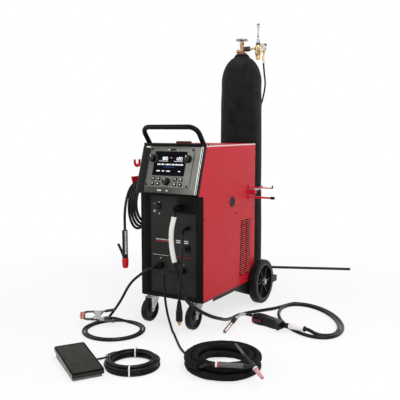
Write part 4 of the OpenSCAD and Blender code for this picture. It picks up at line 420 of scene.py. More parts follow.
finish("chromeFitting", (0.6, 0.61, 0.62), 0.2, 1.0, tone=(35, 0.75, 1.1), grain=(260, 0.00005))
finish("darkScrew", (0.05, 0.05, 0.05), 0.3, 0.8, tone=(35, 0.7, 1.3), grain=(260, 0.00005))
finish("paleMark", (0.8, 0.8, 0.78), 0.5, tone=(40, 0.9, 1.05), grain=(800, 0.00003), specular=0.2)
finish("redMark", (0.5, 0.02, 0.03), 0.45, tone=(40, 0.9, 1.05), grain=(800, 0.00003), specular=0.2)
finish("dialFace", (0.85, 0.85, 0.82), 0.4, tone=(30, 0.95, 1.03), grain=(800, 0.00002), specular=0.2)
finish("litWhite", (0.8, 0.83, 0.87), 0.4, tone=(30, 0.9, 1.1), grain=(800, 0.00002), specular=0.1, glow=0.7)
finish("litRed", (0.7, 0.03, 0.04), 0.4, tone=(30, 0.9, 1.1), grain=(800, 0.00002), specular=0.1, glow=0.5)
finish("litBlue", (0.03, 0.07, 0.26), 0.4, tone=(30, 0.9, 1.1), grain=(800, 0.00002), specular=0.1, glow=0.3)


def clearGlass(name, tint):
    material, tree, shader, position = newMaterial(name)
    shader.inputs["Transmission Weight"].default_value = 1.0
    shader.inputs["Metallic"].default_value = 0.0
    shader.inputs["IOR"].default_value = 1.45
    toned = useGroup(tree, toneSpread, {"Position": position, "Scale": 30.0, "Low": 0.95, "High": 1.0})["Tone"]
    smeared = useGroup(tree, toneSpread, {"Position": position, "Scale": 50.0, "Low": 0.02, "High": 0.06})["Tone"]
    tree.links.new(mixColour(tree, 1.0, (*tint, 1), grey(tree, toned), "MULTIPLY"), shader.inputs["Base Color"])
    tree.links.new(smeared, shader.inputs["Roughness"])
    looks[name] = material


clearGlass("glass", (0.96, 0.97, 0.98))
clearGlass("tubeGlass", (0.8, 0.79, 0.86))
print("materials made:", len(looks))

# The finish of every solid that shows as it is
nodeLooks = {"base_frame": "greyPaint", "rear_axle": "zinc", "front_panel": "panelPlastic",
    "case_wrap": "redPaint", "side_door": "doorPaint", "rear_panel": "greyPaint", "head_housing": "bezelPlastic",
    "head_fascia": "fasciaPrint", "display_window": "screen", "handle": "blackPaint",
    "power_core": "chassisMetal", "output_sockets": "plugPlastic", "cable_hooks": "hookRed",
    "wire_drive": "driveMetal", "wire_spool": "woundWire", "knob_left": "dialPlastic",
    "knob_right": "dialPlastic", "knob_select": "dialPlastic", "power_switch": "dialPlastic",
    "caster_fork_left": "zinc", "caster_fork_right": "zinc", "caster_wheel_left": "casterTread",
    "caster_wheel_right": "casterTread", "rear_wheel_left": "tyre", "rear_wheel_right": "tyre",
    "gas_cylinder": "bottlePaint", "cylinder_valve": "valveBronze", "valve_handwheel": "brightWheel",
    "flow_knob": "dialPlastic", "cylinder_chain": "zinc", "mig_gun_body": "gunPlastic",
    "mig_gun_trigger": "triggerRed", "tig_torch": "torchRubber", "clamp_jaw_fixed": "clampSteel",
    "clamp_jaw_moving": "clampSteel", "holder_body": "holderPlastic", "holder_lever": "leverPlastic",
    "pedal_base": "pedalGrey", "pedal_plate": "pedalDark"}
nodeLooks.update({f"button_{i}": "knobPlastic" for i in range(1, 9)})
for nodeName, lookName in nodeLooks.items():
    shapes = cadNodes[nodeName].data
    shapes.materials.clear()
    shapes.materials.append(looks[lookName])


def addToScene(name, data):
    thing = bpy.data.objects.new(name, data)
    bpy.context.scene.collection.objects.link(thing)
    return thing


def pointAlong(thing, at, heading):  # put a camera or a lamp in its place, looking along a heading
    thing.location = at
    thing.rotation_mode = "QUATERNION"
    thing.rotation_quaternion = Vector(heading).to_track_quat("-Z", "Y")


camera = {"at": (1.51216, -2.56449, 1.007), "azimuth": 31.03, "pitch": 6.73, "lens": 54, "sensor": 36}
lens = bpy.data.cameras.new("camera")
lens.lens, lens.sensor_width = camera["lens"], camera["sensor"]
eye = addToScene("camera", lens)
swing, tilt = math.radians(camera["azimuth"]), math.radians(camera["pitch"])
pointAlong(eye, camera["at"], (-math.sin(swing) * math.cos(tilt), math.cos(swing) * math.cos(tilt), -math.sin(tilt)))
bpy.context.scene.camera = eye
print("camera placed")


def surfacePiece(name, parts, body, slotName, replaced=(), sharp=38, thickness=0.0):
    # every part is a grid of points, rows by columns, in millimetres, and its material's name;
    # a grid's UV runs across its columns and along its rows, in metres
    points, faces, runs, which, names, base = [], [], [], [], [], 0
    for grid, lookName in parts:
        grid = np.asarray(grid, float)
        rows, cols = grid.shape[:2]
        index = base + np.arange(rows * cols).reshape(rows, cols)
        quads = np.stack([index[:-1, :-1], index[:-1, 1:], index[1:, 1:], index[1:, :-1]], axis=-1).reshape(-1, 4)
        along = np.concatenate([[0], np.cumsum(np.linalg.norm(np.diff(grid, axis=0), axis=2).max(1))])
        across = np.concatenate([[0], np.cumsum(np.linalg.norm(np.diff(grid, axis=1), axis=2).max(0))])
        run = np.stack(np.broadcast_arrays(across[None, :], along[:, None]), axis=-1) / 1000
        if lookName not in names:
            names.append(lookName)
        points.append(toFrame(grid.reshape(-1, 3)))
        faces.append(quads)
        runs.append(run.reshape(-1, 2))
        which.append(np.full(len(quads), names.index(lookName)))
        base += rows * cols
    points, faces, runs, which = np.vstack(points), np.vstack(faces), np.vstack(runs), np.concatenate(which)
    mesh = bpy.data.meshes.new(name)
    mesh.from_pydata(points.tolist(), [], faces.tolist())
    uv = mesh.uv_layers.new(name="run")
    corner = np.zeros(len(mesh.loops), np.int32)
    mesh.loops.foreach_get("vertex_index", corner)
    uv.data.foreach_set("uv", runs[corner].astype(np.float32).ravel())
    mesh.polygons.foreach_set("material_index", which.astype(np.int32))
    work = bmesh.new()
    work.from_mesh(mesh)
    bmesh.ops.remove_doubles(work, verts=work.verts, dist=2e-6)
    if not thickness:
        bmesh.ops.recalc_face_normals(work, faces=work.faces)
    work.to_mesh(mesh)
    work.free()
    for lookName in names:
        mesh.materials.append(looks[lookName])
    mesh.shade_smooth()
    mesh.set_sharp_from_angle(angle=math.radians(sharp))
    piece = addToScene(name, mesh)
    if thickness:
        shell = piece.modifiers.new("thickness", "SOLIDIFY")
        shell.thickness, shell.offset = thickness / 1000, -1
    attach(piece, body)
    if replaced:
        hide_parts(*replaced)
    return piece


def smoothRoute(points, steps):
    # each span is the cubic through its two ends, with slopes of half the chord between the neighbours
    p = np.asarray(points, float)
    p = np.vstack([p[:1], p, p[-1:]])
    a, b, c, d = (x[:, None, :] for x in (p[:-3], p[1:-2], p[2:-1], p[3:]))
    t = (np.arange(steps) / steps)[None, :, None]
    q = 0.5 * (2 * b + (c - a) * t + (2 * a - 5 * b + 4 * c - d) * t ** 2 + (3 * b - a - 3 * c + d) * t ** 3)
    return np.vstack([q.reshape(-1, 3), p[-1:]])


def framesAlong(path):
    # tangent, and two directions square to it, turned back by the summed twist so that they don't spin
    t = unit(np.gradient(path, axis=0))
    n = unit(np.cross(t, [0.31, 0.47, 0.83]))
    b = np.cross(t, n)
    carried = unit(n[:-1] - (n[:-1] * t[1:]).sum(1)[:, None] * t[1:])
    twist = np.arctan2((carried * b[1:]).sum(1), (carried * n[1:]).sum(1))
    angle = -np.concatenate([[0], np.cumsum(twist)])[:, None]
    return t, np.cos(angle) * n + np.sin(angle) * b, np.cos(angle) * b - np.sin(angle) * n


def sweep(path, radius, sides=16, wobble=None):
    # rings of the given radius round each point of the path, and a point at each end to close it
    t, n, b = framesAlong(path)
    angle = np.linspace(0, 2 * np.pi, sides + 1)
    circle = np.cos(angle)[None, :, None] * n[:, None] + np.sin(angle)[None, :, None] * b[:, None]
    radius = np.broadcast_to(np.asarray(radius, float).reshape(-1, 1), (len(path), sides + 1)).copy()
    if wobble is not None:
        run = np.concatenate([[0], np.cumsum(np.linalg.norm(np.diff(path, axis=0), axis=1))])
        radius += wobble(run[:, None], angle[None, :])
    grid = path[:, None] + radius[..., None] * circle
    ends = [np.repeat(path[i][None, None], sides + 1, 1) for i in (0, -1)]
    return np.vstack([ends[0], grid, ends[1]])


def axisFrame(direction):  # two directions square to an axis, and the axis
    w = unit(direction)
    u = unit(np.cross(w, [0, 0, 1] if abs(w[2]) < 0.9 else [1, 0, 0]))
    return u, np.cross(w, u), w


def turned(profile, start, end, sides=40, ribs=None):
    # a profile of (radius, height) pairs turned about the line from start towards end;
    # ribs = (count, depth, low, high) are cut along it between two heights
    start = np.asarray(start, float)
    u, v, w = axisFrame(np.asarray(end, float) - start)
    profile = np.asarray(profile, float)
    if ribs:
        sides = ribs[0] * 8  # eight columns to a rib
    angle = np.linspace(0, 2 * np.pi, sides + 1)[None, :]
    r, h = profile[:, :1], profile[:, 1:]
    r = np.broadcast_to(r, (len(profile), sides + 1))
    if ribs:
        ribbed = ((h >= ribs[2]) & (h <= ribs[3])).astype(float)
        r = r + ribbed * ribs[1] * (np.clip(np.cos(ribs[0] * angle) * 1.6, -1, 1) * 0.5 - 0.5)
    around = np.cos(angle)[..., None] * u + np.sin(angle)[..., None] * v
    return start + r[..., None] * around + h[..., None] * w


def upright(profile, x, y, z=0, **more):  # a profile turned about an upright line
    return turned(profile, (x, y, z), (x, y, z + 1), **more)


def roundedBlock(centre, size, radius, axes=None, steps=3):
    # each point of a ball of the edge radius, pushed out to the corner that its octant belongs to
    half = np.asarray(size, float) / 2
    radius = min(radius, half.min() * 0.999)
    up = np.concatenate([np.linspace(-90, 0, steps + 1), np.linspace(0, 90, steps + 1)])
    upSign = np.repeat([-1, 1], steps + 1)
    turn = np.concatenate([np.linspace(90 * k, 90 * (k + 1), steps + 1) for k in range(4)] + [[0]])
    xSign = np.concatenate([np.repeat([1, -1, -1, 1], steps + 1), [1]])
    ySign = np.concatenate([np.repeat([1, 1, -1, -1], steps + 1), [1]])
    a, e = np.radians(turn)[None, :], np.radians(up)[:, None]
    ball = np.stack(np.broadcast_arrays(np.cos(e) * np.cos(a), np.cos(e) * np.sin(a), np.sin(e)), axis=-1)
    sign = np.stack(np.broadcast_arrays(xSign[None, :], ySign[None, :], upSign[:, None]), axis=-1)
    local = sign * (half - radius) + radius * ball
    cap = np.broadcast_to(np.array([0, 0, 1.0]) * half, local[:1].shape)
    local = np.vstack([cap * [1, 1, -1], local, cap])
    return np.asarray(centre, float) + (local if axes is None else local @ np.asarray(axes, float))


def settled(route, diameter):  # a lead never sinks into the ground it lies on
    return np.column_stack([route[:, :2], np.maximum(route[:, 2], diameter / 2)])


turnSteps = 24  # points in one turn of a wound lead


def piled(centre, r, cols, layers, pitch, turns, start, way):
    # a spiral that winds in and out at a steady rate, and climbs a layer in the half turn where it turns back
    s = np.arange(2 * round(turnSteps * turns) + 1) / (2 * turnSteps)
    layer = np.minimum(np.floor(s / cols), layers - 1)
    radius = r - pitch * np.where(layer % 2 == 0, s - layer * cols, (layer + 1) * cols - s)
    climb = sum(np.clip((s - k * cols + 0.25) / 0.5, 0, 1) for k in range(1, layers)) * pitch
    a = np.radians(start) + way * 2 * np.pi * s
    return np.column_stack([centre[0] + radius * np.cos(a), centre[1] + radius * np.sin(a), centre[2] + climb])


def ringTurns(centre, r, step, start, turns, first=1):  # flat rings, each smaller by a step
    s = np.arange(first, round(turnSteps * turns) + 1) / turnSteps
    a, now = np.radians(start) + 2 * np.pi * s, r - step * s
    return np.column_stack([centre[0] + now * np.cos(a), centre[1] + now * np.sin(a), np.full(len(s), centre[2])])


# The leads' diameters; every route runs from the cabinet outwards
leads = {"gunD": 18, "torchD": 12, "sleeveD": 30, "workD": 14, "footD": 9.5,
    "mainsD": 18, "hoseD": 10, "polarityD": 13}

gunPoints = [[50, -46, 612], [56, -62, 602], [64, -72, 578], [54, -75, 530], [48, -74, 482], [49, -72, 432],
    [56, -72, 388], [66, -72, 350], [76, -72, 308], [96, -77, 250], [125, -88, 200], [160, -96, 168],
    [190, -91, 146], [216, -62, 118], [244, -12, 86], [252, 60, 56], [243, 140, 28], [232, 234, 9], [238, 300, 9],
    [268, 370, 9], [318, 450, 9], [358, 520, 9]]
gunLoop = {"centre": (588, 418, 9.0), "turn": -52.8, "start": 200,
    "long": 292, "short": 164, "step": 20, "turns": 1.5}


def ovalTurns(loop):  # flat ovals on a slanting long axis, each smaller by a step
    s = np.arange(1, round(turnSteps * loop["turns"]) + 1) / turnSteps
    a, grow, turn = np.radians(loop["start"] - 360 * s), loop["step"] * s, math.radians(loop["turn"])
    x, y = (loop["long"] - grow) * np.cos(a), (loop["short"] - grow) * np.sin(a)
    return np.column_stack([loop["centre"][0] + x * math.cos(turn) - y * math.sin(turn),
        loop["centre"][1] + x * math.sin(turn) + y * math.cos(turn), np.full(len(s), loop["centre"][2])])


gunTail = [[752, 222, 10], [730, 206, 13], [706, 198, 19], [684, 196, 28], [668, 195, 33], [652, 193, 34]]
gunRoute = settled(smoothRoute(np.vstack([gunPoints, ovalTurns(gunLoop), gunTail]), 5), leads["gunD"])

torchPile = {"centre": (503, -350, 15.5), "r": 158, "cols": 2, "layers": 2, "turns": 4.15, "start": 198, "way": 1}
coilRoute = piled(pitch=leads["sleeveD"] + 1, **torchPile)
torchPoints = [[62, -32, 288], [61, -45, 289], [52, -56, 292], [34, -65, 294], [10, -67, 288],
    [-1, -68, 268], [-2, -68, 235], [2, -68, 190], [6, -68, 145], [14, -68, 100], [27, -71, 58],
    [48, -82, 24], [72, -104, 8], [100, -132, 7], [160, -200, 7], [222, -268, 7], [275, -316, 8],
    [316, -344, 11], [337, -364, 15], [343, -373, 15.5], coilRoute[0]]
torchRoute = settled(smoothRoute(torchPoints, 5), leads["torchD"])
linkRoute = smoothRoute([coilRoute[-1], [466, -508.7, 47.5], [482, -513, 52],
    [499, -517, 61], [516, -518, 70], [531, -513, 73.8]], 5)

workPoints = [[-72, -42, 304], [-76, -58, 303], [-90, -72, 297], [-112, -80, 284], [-140, -88, 262], [-170, -96, 236],
    [-196, -100, 206], [-216, -102, 176], [-236, -105, 140], [-256, -112, 104], [-276, -124, 70], [-294, -134, 42],
    [-308, -142, 22], [-330, -160, 8], [-345, -196, 8]]
workTail = [[-170, -109, 9], [-190, -117, 14], [-207, -132, 22], [-221, -149, 31], [-234, -163, 38],
    [-248, -173.5, 41.3], [-262, -182, 41.3]]
workRings = {"centre": (-188, -236, 8), "r": 158, "step": 16, "start": 165, "turns": 1.75}
workRoute = settled(smoothRoute(np.vstack([workPoints, ringTurns(**workRings), workTail]), 5), leads["workD"])

footPile = {"centre": (160, -548, 5), "r": 119, "cols": 3, "layers": 4, "turns": 10.7, "start": 110, "way": -1}
footCoil = piled(pitch=leads["footD"] + 1, **footPile)
footPoints = [[-1, -584, 10], [4, -575, 10], [8, -558, 8], [6, -535, 5], [-2, -508, 5], [1, -480, 5], [16, -459, 5],
    [42, -450, 5], [75, -447, 5], [109, -440.2, 5], footCoil[0]]
footRoute = settled(smoothRoute(footPoints, 5), leads["footD"])

# Long loops that hang from the hook, each one longer and wider than the last
hank = {"top": np.array([-203.5, 65, 724]), "turns": 4, "pitch": 15.2,
    "half": 83, "wider": 1.5, "drop": 100, "longer": 7}
hankTop = hank["top"]
s = np.arange(1, turnSteps * hank["turns"]) / turnSteps
hankLoops = np.column_stack([hankTop[0] - hank["pitch"] * s,
    hankTop[1] - (hank["half"] + hank["wider"] * s) * np.sin(2 * np.pi * s),
    hankTop[2] - (hank["drop"] + hank["longer"] * s) * (1 - np.cos(2 * np.pi * s))])
hankStart = [[-210, 172, 452], [-210, 172, 466], [-208, 173, 500], [-206, 174, 560], [-204, 170, 620],
    [-203, 148, 684], [-203, 108, 716], hankTop]
hankTail = [[-264.3, 65, 724], [-264.5, 40, 719], [-264, 6, 697], [-262, -24, 655], [-259, -46, 600],
    [-258, -53, 550], [-258, -53, 515], [-258, -53, 482]]
holderRoute = smoothRoute(np.vstack([hankStart, hankLoops, hankTail]), 4)

mainsPoints = [[110, 603, 240], [110, 622, 238], [116, 642, 215], [134, 664, 160], [150, 690, 104], [155, 720, 80],
    [155, 760, 73.5], [155, 840, 73.5], [152, 880, 84], [149, 908, 109], [141, 938, 73], [127, 962, 24],
    [108, 986, 9], [82, 1008, 9], [50, 1029, 9]]
mainsTail = [[-54, 1215, 14], [-80, 1230, 25], [-106, 1243, 30], [-132, 1257, 25], [-156, 1275, 14], [-176, 1300, 9],
    [-186, 1332, 9], [-183, 1367, 9], [-166, 1394, 9], [-143, 1403, 9], [-68, 1437, 9], [40, 1486, 9], [170, 1545, 9],
    [300, 1604, 9], [413, 1655, 9], [429, 1662, 9]]
mainsRings = {"centre": (-72, 1145, 9), "r": 118, "step": 20, "start": 52, "turns": 2, "first": 0}
mainsRoute = settled(smoothRoute(np.vstack([mainsPoints, ringTurns(**mainsRings), mainsTail]), 4), leads["mainsD"])

hosePoints = [[144, 770, 1399.5], [144, 770, 1389], [143, 775, 1370], [136, 800, 1330], [118, 850, 1270],
    [80, 893, 1180], [30, 916, 1080], [-24, 924, 980], [-76, 904, 880], [-118, 868, 780],
    [-144, 822, 690], [-146, 765, 610], [-140, 710, 540], [-124, 660, 480], [-106, 625, 435],
    [-92, 604, 412], [-88, 596, 408], [-86, 590, 408]]
hoseRoute = smoothRoute(hosePoints, 6)
polarityRoute = smoothRoute([[92, -4.5, 511], [93, -18, 510], [101, -44, 506], [114, -72, 492],
    [124, -94, 462], [130, -106, 420], [133, -110, 370], [131, -110, 320], [126, -110, 270],
    [121, -110, 225], [118, -110, 190], [117, -110, 168]], 6)


def cordPiece(name, route, diameter, node, look="cableRubber", slotName="cable_rubber", sides=16, wobble=None):
    tube = sweep(route, diameter / 2, sides, wobble)
    return surfacePiece(name, [(tube, look)], "cart", slotName, (node,), sharp=60)


def rippled(along, angle):  # loose woven sleeve: slow swells, and creases that wander round it
    return (0.5 * np.sin(along / 23) + 0.5 * np.sin(along / 7.5 + 2 * angle) * np.sin(along / 61)
        + 0.45 * np.sin(3 * angle + along / 31) + 0.3 * np.sin(along / 4.1 - 3 * angle))


workCable = cordPiece("workCable", workRoute, leads["workD"], "work_cable")
gunCable = cordPiece("gunCable", gunRoute, leads["gunD"], "mig_cable")
torchLead = cordPiece("torchLead", torchRoute, leads["torchD"], "tig_cable")
torchLink = cordPiece("torchLink", linkRoute, leads["torchD"], "tig_cable")
torchSleeve = cordPiece("torchSleeve", coilRoute, leads["sleeveD"], "tig_coil",
    "sleeveCloth", "sleeve_cloth", 24, rippled)
footCord = cordPiece("footCord", footRoute, leads["footD"], "pedal_cord")
footCordCoil = cordPiece("footCordCoil", footCoil, leads["footD"], "pedal_coil", sides=12)
holderCable = cordPiece("holderCable", holderRoute, leads["workD"], "holder_cable")
mainsCord = cordPiece("mainsCord", mainsRoute, leads["mainsD"], "power_cord")
gasHose = cordPiece("gasHose", hoseRoute, leads["hoseD"], "gas_hose")
polarityLead = cordPiece("polarityLead", polarityRoute, leads["polarityD"], "polarity_lead")
print("leads laid")

# Plugs, boots and glands take the place of one node of small connectors
plugs = {"collarD": 34, "ribs": 14, "ribDepth": 1.6, "bootD": 29, "bootFoot": 19, "bootRings": 5, "ringDepth": 0.55}


def plugPiece(name, *parts, **more):
    return surfacePiece(name, parts, "cart", "plug_plastic", ("cable_plugs",), **more)


def twistPlug(name, at, bootEnd, bootTip):
    # collar with grip ribs, then a boot with rings that tapers on to the lead; at is on the panel, which faces -Y
    at, r, bootR, foot = np.asarray(at, float), plugs["collarD"] / 2, plugs["bootD"] / 2, plugs["bootFoot"]
    taper = np.linspace(0, 1, 26)
    rings = plugs["ringDepth"] * np.cos(taper * 2 * np.pi * plugs["bootRings"]) * (taper > 0.2)
    boot = np.column_stack([bootR + (bootTip - bootR) * taper ** 0.8 + rings, foot + (bootEnd - foot) * taper])
    profile = np.vstack([[[0, -6], [r - 3, -6], [r - 3, 1], [r - 0.6, 1], [r, 2.2], [r, 8], [r, 15.8],
        [r - 0.8, 17.4], [15, 18.4]], boot, [[0, bootEnd]]])
    ribs = (plugs["ribs"], plugs["ribDepth"], 2, 16.5)
    return plugPiece(name, (turned(profile, at, at + [0, -1, 0], ribs=ribs), "plugPlastic"))


workPlug = twistPlug("workPlug", (-72, 0, 304), 44, 9.3)
torchPlug = twistPlug("torchPlug", (62, 0, 288), 34, 8.3)
polarityAt, holderPlugAt = (117, -110, 60), (-210, 172, 452)
polarityPlug = plugPiece("polarityPlug",
    (upright([[0, 8], [12.4, 8], [13, 9], [13, 9.5], [16.2, 9.5], [17, 11], [17, 30], [16.6, 33], [17, 36],
        [17, 56], [16, 60], [15, 62], [14, 74], [13.4, 76], [13.2, 80], [12.2, 86], [11.6, 88], [11.4, 92],
        [10.4, 98], [9.7, 108], [0, 108]], *polarityAt, ribs=(12, 1.1, 11, 56)), "plugPlastic"),
    (upright([[0, -12], [5.6, -12], [6.6, -10.8], [6.6, 1], [12.6, 1.2], [13, 2], [13, 8.4], [0, 8.4]],
        *polarityAt), "brassFitting"))
holderPlug = plugPiece("holderPlug",
    (upright([[0, -72], [15, -72], [16, -71], [16, -50], [15.2, -46], [16, -42], [16, -35], [15, -33], [14.4, -24],
        [13.6, -22], [13.2, -14], [12.2, -12], [11.6, -4], [10.4, 0], [9.6, 2], [0, 2]], *holderPlugAt,
        ribs=(12, 1.1, -70, -36)), "plugPlastic"),
    (upright([[0, -94], [5.6, -94], [6.6, -92.8], [6.6, -72.5], [0, -72.5]], *holderPlugAt), "brassFitting"))
gunSocket = (50, -46, 612), (47, 9, 612)
gunConnector = plugPiece("gunConnector",
    (turned([[0, 0], [11.5, 0], [12.6, 1], [13, 4], [14.6, 7], [15.4, 12], [17.4, 16], [18, 20], [19, 21], [19, 24],
        [18.2, 25.5], [19, 27], [19, 36], [18.2, 37.5], [19, 39], [19, 52], [0, 52]], *gunSocket,
        ribs=(16, 1.0, 22, 50)), "plugPlastic"),
    (turned([[0, 52], [14, 52], [14, 66], [0, 66]], *gunSocket), "brassFitting"))

sleeve = {"from": 2, "to": 7, "r": 12.6, "hem": 0.35}  # spans of the gun's lead under the white sleeve
sleeveRun = gunRoute[sleeve["from"] * 5:sleeve["to"] * 5 + 1]
hem = sleeve["hem"] * (np.abs(np.linspace(0, 1, len(sleeveRun)) - 0.5) > 0.47)
whiteSleeve = plugPiece("whiteSleeve", (sweep(sleeveRun, sleeve["r"] + hem, 28), "whiteSleeve"), sharp=60)
gunTailAt, gunSleeveAt = np.array([530, 205, 30.0]), np.array([652, 193, 34.0])
gunSleeve = plugPiece("gunSleeve", *[(turned(profile, gunSleeveAt, gunTailAt), look) for profile, look in (
    ([[0, 0], [12.2, 0], [12.8, 1], [12.8, 84], [12.2, 85], [0, 85]], "whiteSleeve"),
    ([[0, 85], [12.4, 85], [13.6, 87], [13.6, 95], [12.4, 97], [13.4, 99], [13.4, 108], [12.2, 110], [12.2, 124],
        [0, 124]], "plugPlastic"),
    ([[0, -6], [9.4, -6], [13, -4], [14, -2.5], [14, 2], [12.8, 3], [0, 3]], "plugPlastic"))])
footEnd = footCoil[-1]
footAhead = footEnd + unit(footEnd - footCoil[-3])
footPlug = plugPiece("footPlug",
    (turned([[0, -1], [5.2, -1], [5.5, 0], [5.5, 14], [6.4, 15], [6.4, 17], [0, 17]], footEnd, footAhead),
        "plugPlastic"),
    (turned([[0, 15], [5.9, 15], [6.5, 16], [6.5, 31], [5.9, 32], [5.5, 32.4], [5.5, 39], [4.4, 39], [4.4, 34],
        [0, 34]], footEnd, footAhead, ribs=(16, 0.6, 15.5, 31)), "chromeFitting"))
mainsEntry, hoseEntry = [(110, 575, 240), (110, 576, 240)], [(-86, 575, 408), (-86, 576, 408)]
mainsGland = plugPiece("mainsGland",
    (turned([[0, -10], [13.5, -10], [13.5, 0], [20, 0], [20, 7], [18.6, 8], [0, 8]], *mainsEntry, sides=6),
        "plugPlastic"),
    (turned([[0, 7], [14, 7], [14.2, 12], [13.2, 14], [13.2, 17], [12.2, 18], [12.2, 22], [11.2, 23], [10.4, 28.5],
        [0, 28.5]], *mainsEntry), "plugPlastic"))
hoseGland = plugPiece("hoseGland",
    (turned([[0, -10], [7.5, -10], [7.5, 0], [10, 0], [10, 7], [9, 8], [0, 8]], *hoseEntry, sides=6), "brassFitting"),
    (turned([[0, 8], [6.2, 8], [6.2, 19], [5.8, 20], [0, 20]], *hoseEntry), "chromeFitting"))
hoseClamp = plugPiece("hoseClamp", (turned([[0, 0], [6.1, 0], [6.5, 0.6], [6.5, 3.4], [6.0, 4], [6.0, 6], [6.5, 6.6],
    [6.5, 12.4], [6.1, 14], [0, 14]], (144, 770, 1404), (143.5, 772, 1386)), "chromeFitting"))

# Two white ties round the foot control's coil: flat bands on the superellipse |x/a|^4 + |z/b|^4 = 1 about its section
tie = {"angles": {"front": -58, "back": 118}, "height": 21.5, "ringR": 103.5, "halfW": 21.4, "halfH": 21.0}
bandProfile = ((0, -3), (0.9, -3), (1.1, 0), (0.9, 3), (0, 3), (0, -3))  # outwards, along the coil
loop = np.linspace(0, 2 * np.pi, 49)
tieX, tieZ = (np.sign(wave) * np.abs(wave) ** 0.5 for wave in (np.cos(loop), np.sin(loop)))
ties, up = [], np.array([0, 0, 1])
for tieName, degrees in tie["angles"].items():
    a = math.radians(degrees)
    radial, tangent = np.array([math.cos(a), math.sin(a), 0]), np.array([-math.sin(a), math.cos(a), 0])
    middle = np.array([*footPile["centre"][:2], tie["height"]]) + radial * tie["ringR"]
    rows = [middle + tieX[:, None] * (tie["halfW"] + out) * radial + tieZ[:, None] * (tie["halfH"] + out) * up
        + side * tangent for out, side in bandProfile]
    ties.append(surfacePiece("footCoilTie_" + tieName, [(np.array(rows), "whiteSleeve")], "cart", "plug_plastic"))
print("plugs made")


def path(route):
    return toFrame(route).tolist()


# The bottle's cover: cloth hung from the bottle's shoulder, drawn tight under the chain
cover = {"axis": (0, 770), "bodyR": 120.6, "foot": 72, "domeFoot": 1283, "domeRise": 162.5,
    "neckR": 48, "thickness": 1.2, "chain": 655, "slack": 6.4, "pleats": 22, "seamAt": 90,
    "drawR": 42.6, "drawZ": 1441.5, "drawWave": 0.7}


def bell(z, middle, width):  # 1 at the middle, falling off on both sides
    return np.exp(-((z - middle) / width) ** 2)


def coverSurface():
    # the radius follows the bottle's side and its elliptical shoulder, with slow swells round it, slanting creases,
    # slack that hangs below the shoulder, pleats that deepen towards the neck and a rolled hem at the foot
    rise = np.concatenate([[0, 2, 5, 9], np.linspace(14, cover["domeFoot"] - cover["foot"], 150)])
    lift = np.linspace(0, math.acos(cover["neckR"] / cover["bodyR"]), 46)[1:]
    neck = np.array([[44.8, 1436.5], [41.4, 1440.5], [39.6, 1444.5], [38.6, 1449.4], [37.6, 1450.4], [36.4, 1449.6]])
    domeR, domeZ = cover["bodyR"] * np.cos(lift), cover["domeFoot"] + cover["domeRise"] * np.sin(lift)
    r = np.concatenate([np.full(len(rise), cover["bodyR"]), domeR, neck[:, 0]])[:, None]
    z = np.concatenate([cover["foot"] + rise, domeZ, neck[:, 1]])[:, None]
    q = np.linspace(0, 2 * np.pi, 193)[None, :]
    share = np.clip((z - cover["domeFoot"]) / cover["domeRise"], 0, 1)
    side = 1 - np.clip((z - 1250) / 90, 0, 1)
    swell = (0.9 * np.sin(3 * q + 0.8 + z / 410) + 0.8 * np.sin(5 * q - z / 230 + 2.1) * np.cos(z / 310)
        + 0.5 * np.sin(9 * q + z / 90))
    crease = 0.7 * np.sin(z / 31 + 4 * q) * bell(z, 1215, 120) + 0.6 * np.sin(z / 17 - 2 * q + 1) * bell(z, 130, 80)
    low = 0.8 * np.sin(z / 24 + 3 * q) * bell(z, cover["chain"], 60)
    pleat = (2.1 * np.sin(cover["pleats"] * q + 0.6 * np.sin(3 * q)) * share ** 1.6 * (1 - share ** 9)
        + 0.9 * np.sin(13 * q + 1) * share * (1 - share))
    tight = 1 - 0.9 * bell(z, cover["chain"], 14)
    slack = (cover["slack"] * np.clip((1240 - z) / 420, 0, 1) * np.clip((z - 66) / 120, 0, 1)
        * (1 + 0.25 * np.sin(2 * q + z / 260)) + 1.6 * bell(z, 1180, 60) * np.sin(2 * q - 0.6) ** 2)
    hem = 0.9 * bell(z, 84, 4.5)
    r = r + np.maximum((side * (swell + 1.5 * crease + low + slack) * tight + pleat + hem), -1.9)
    x, y = cover["axis"]
    return np.stack([x + r * np.cos(q), y + r * np.sin(q), np.broadcast_to(z, r.shape)], axis=-1)


def alongCover(grid, row, degrees, out):  # a point of the cover, moved outwards
    q = math.radians(degrees)
    column = int(round((q % (2 * math.pi)) / (2 * math.pi) * (grid.shape[1] - 1)))
    return grid[row, column] + np.array([math.cos(q), math.sin(q), 0]) * out


coverGrid = coverSurface()
bottleCover = surfacePiece("bottleCover", [(coverGrid, "coverCloth")], "cart", "cover_cloth", ("cylinder_cover",),
    sharp=180, thickness=cover["thickness"])
seamRows = range(4, coverGrid.shape[0] - 6, 2)
seamLine = np.array([alongCover(coverGrid, row, cover["seamAt"], 0.2) for row in seamRows])
backSeam = surfacePiece("coverSeam", [(sweep(seamLine, 1.5, 8), "coverCloth")], "cart", "cover_cloth", sharp=60)
cordAngle = np.linspace(0, 2 * np.pi, 97)
drawR = cover["drawR"] + cover["drawWave"] * np.sin(cover["pleats"] * cordAngle)
drawRow = np.column_stack([cover["axis"][0] + drawR * np.cos(cordAngle), cover["axis"][1] + drawR * np.sin(cordAngle),
    cover["drawZ"] + 0.5 * np.sin(5 * cordAngle)])
drawString = surfacePiece("coverDrawstring",
    [(sweep(drawRow, 1.7, 8), "coverCloth")], "cart", "cover_cloth", sharp=60)
print("cover hung")

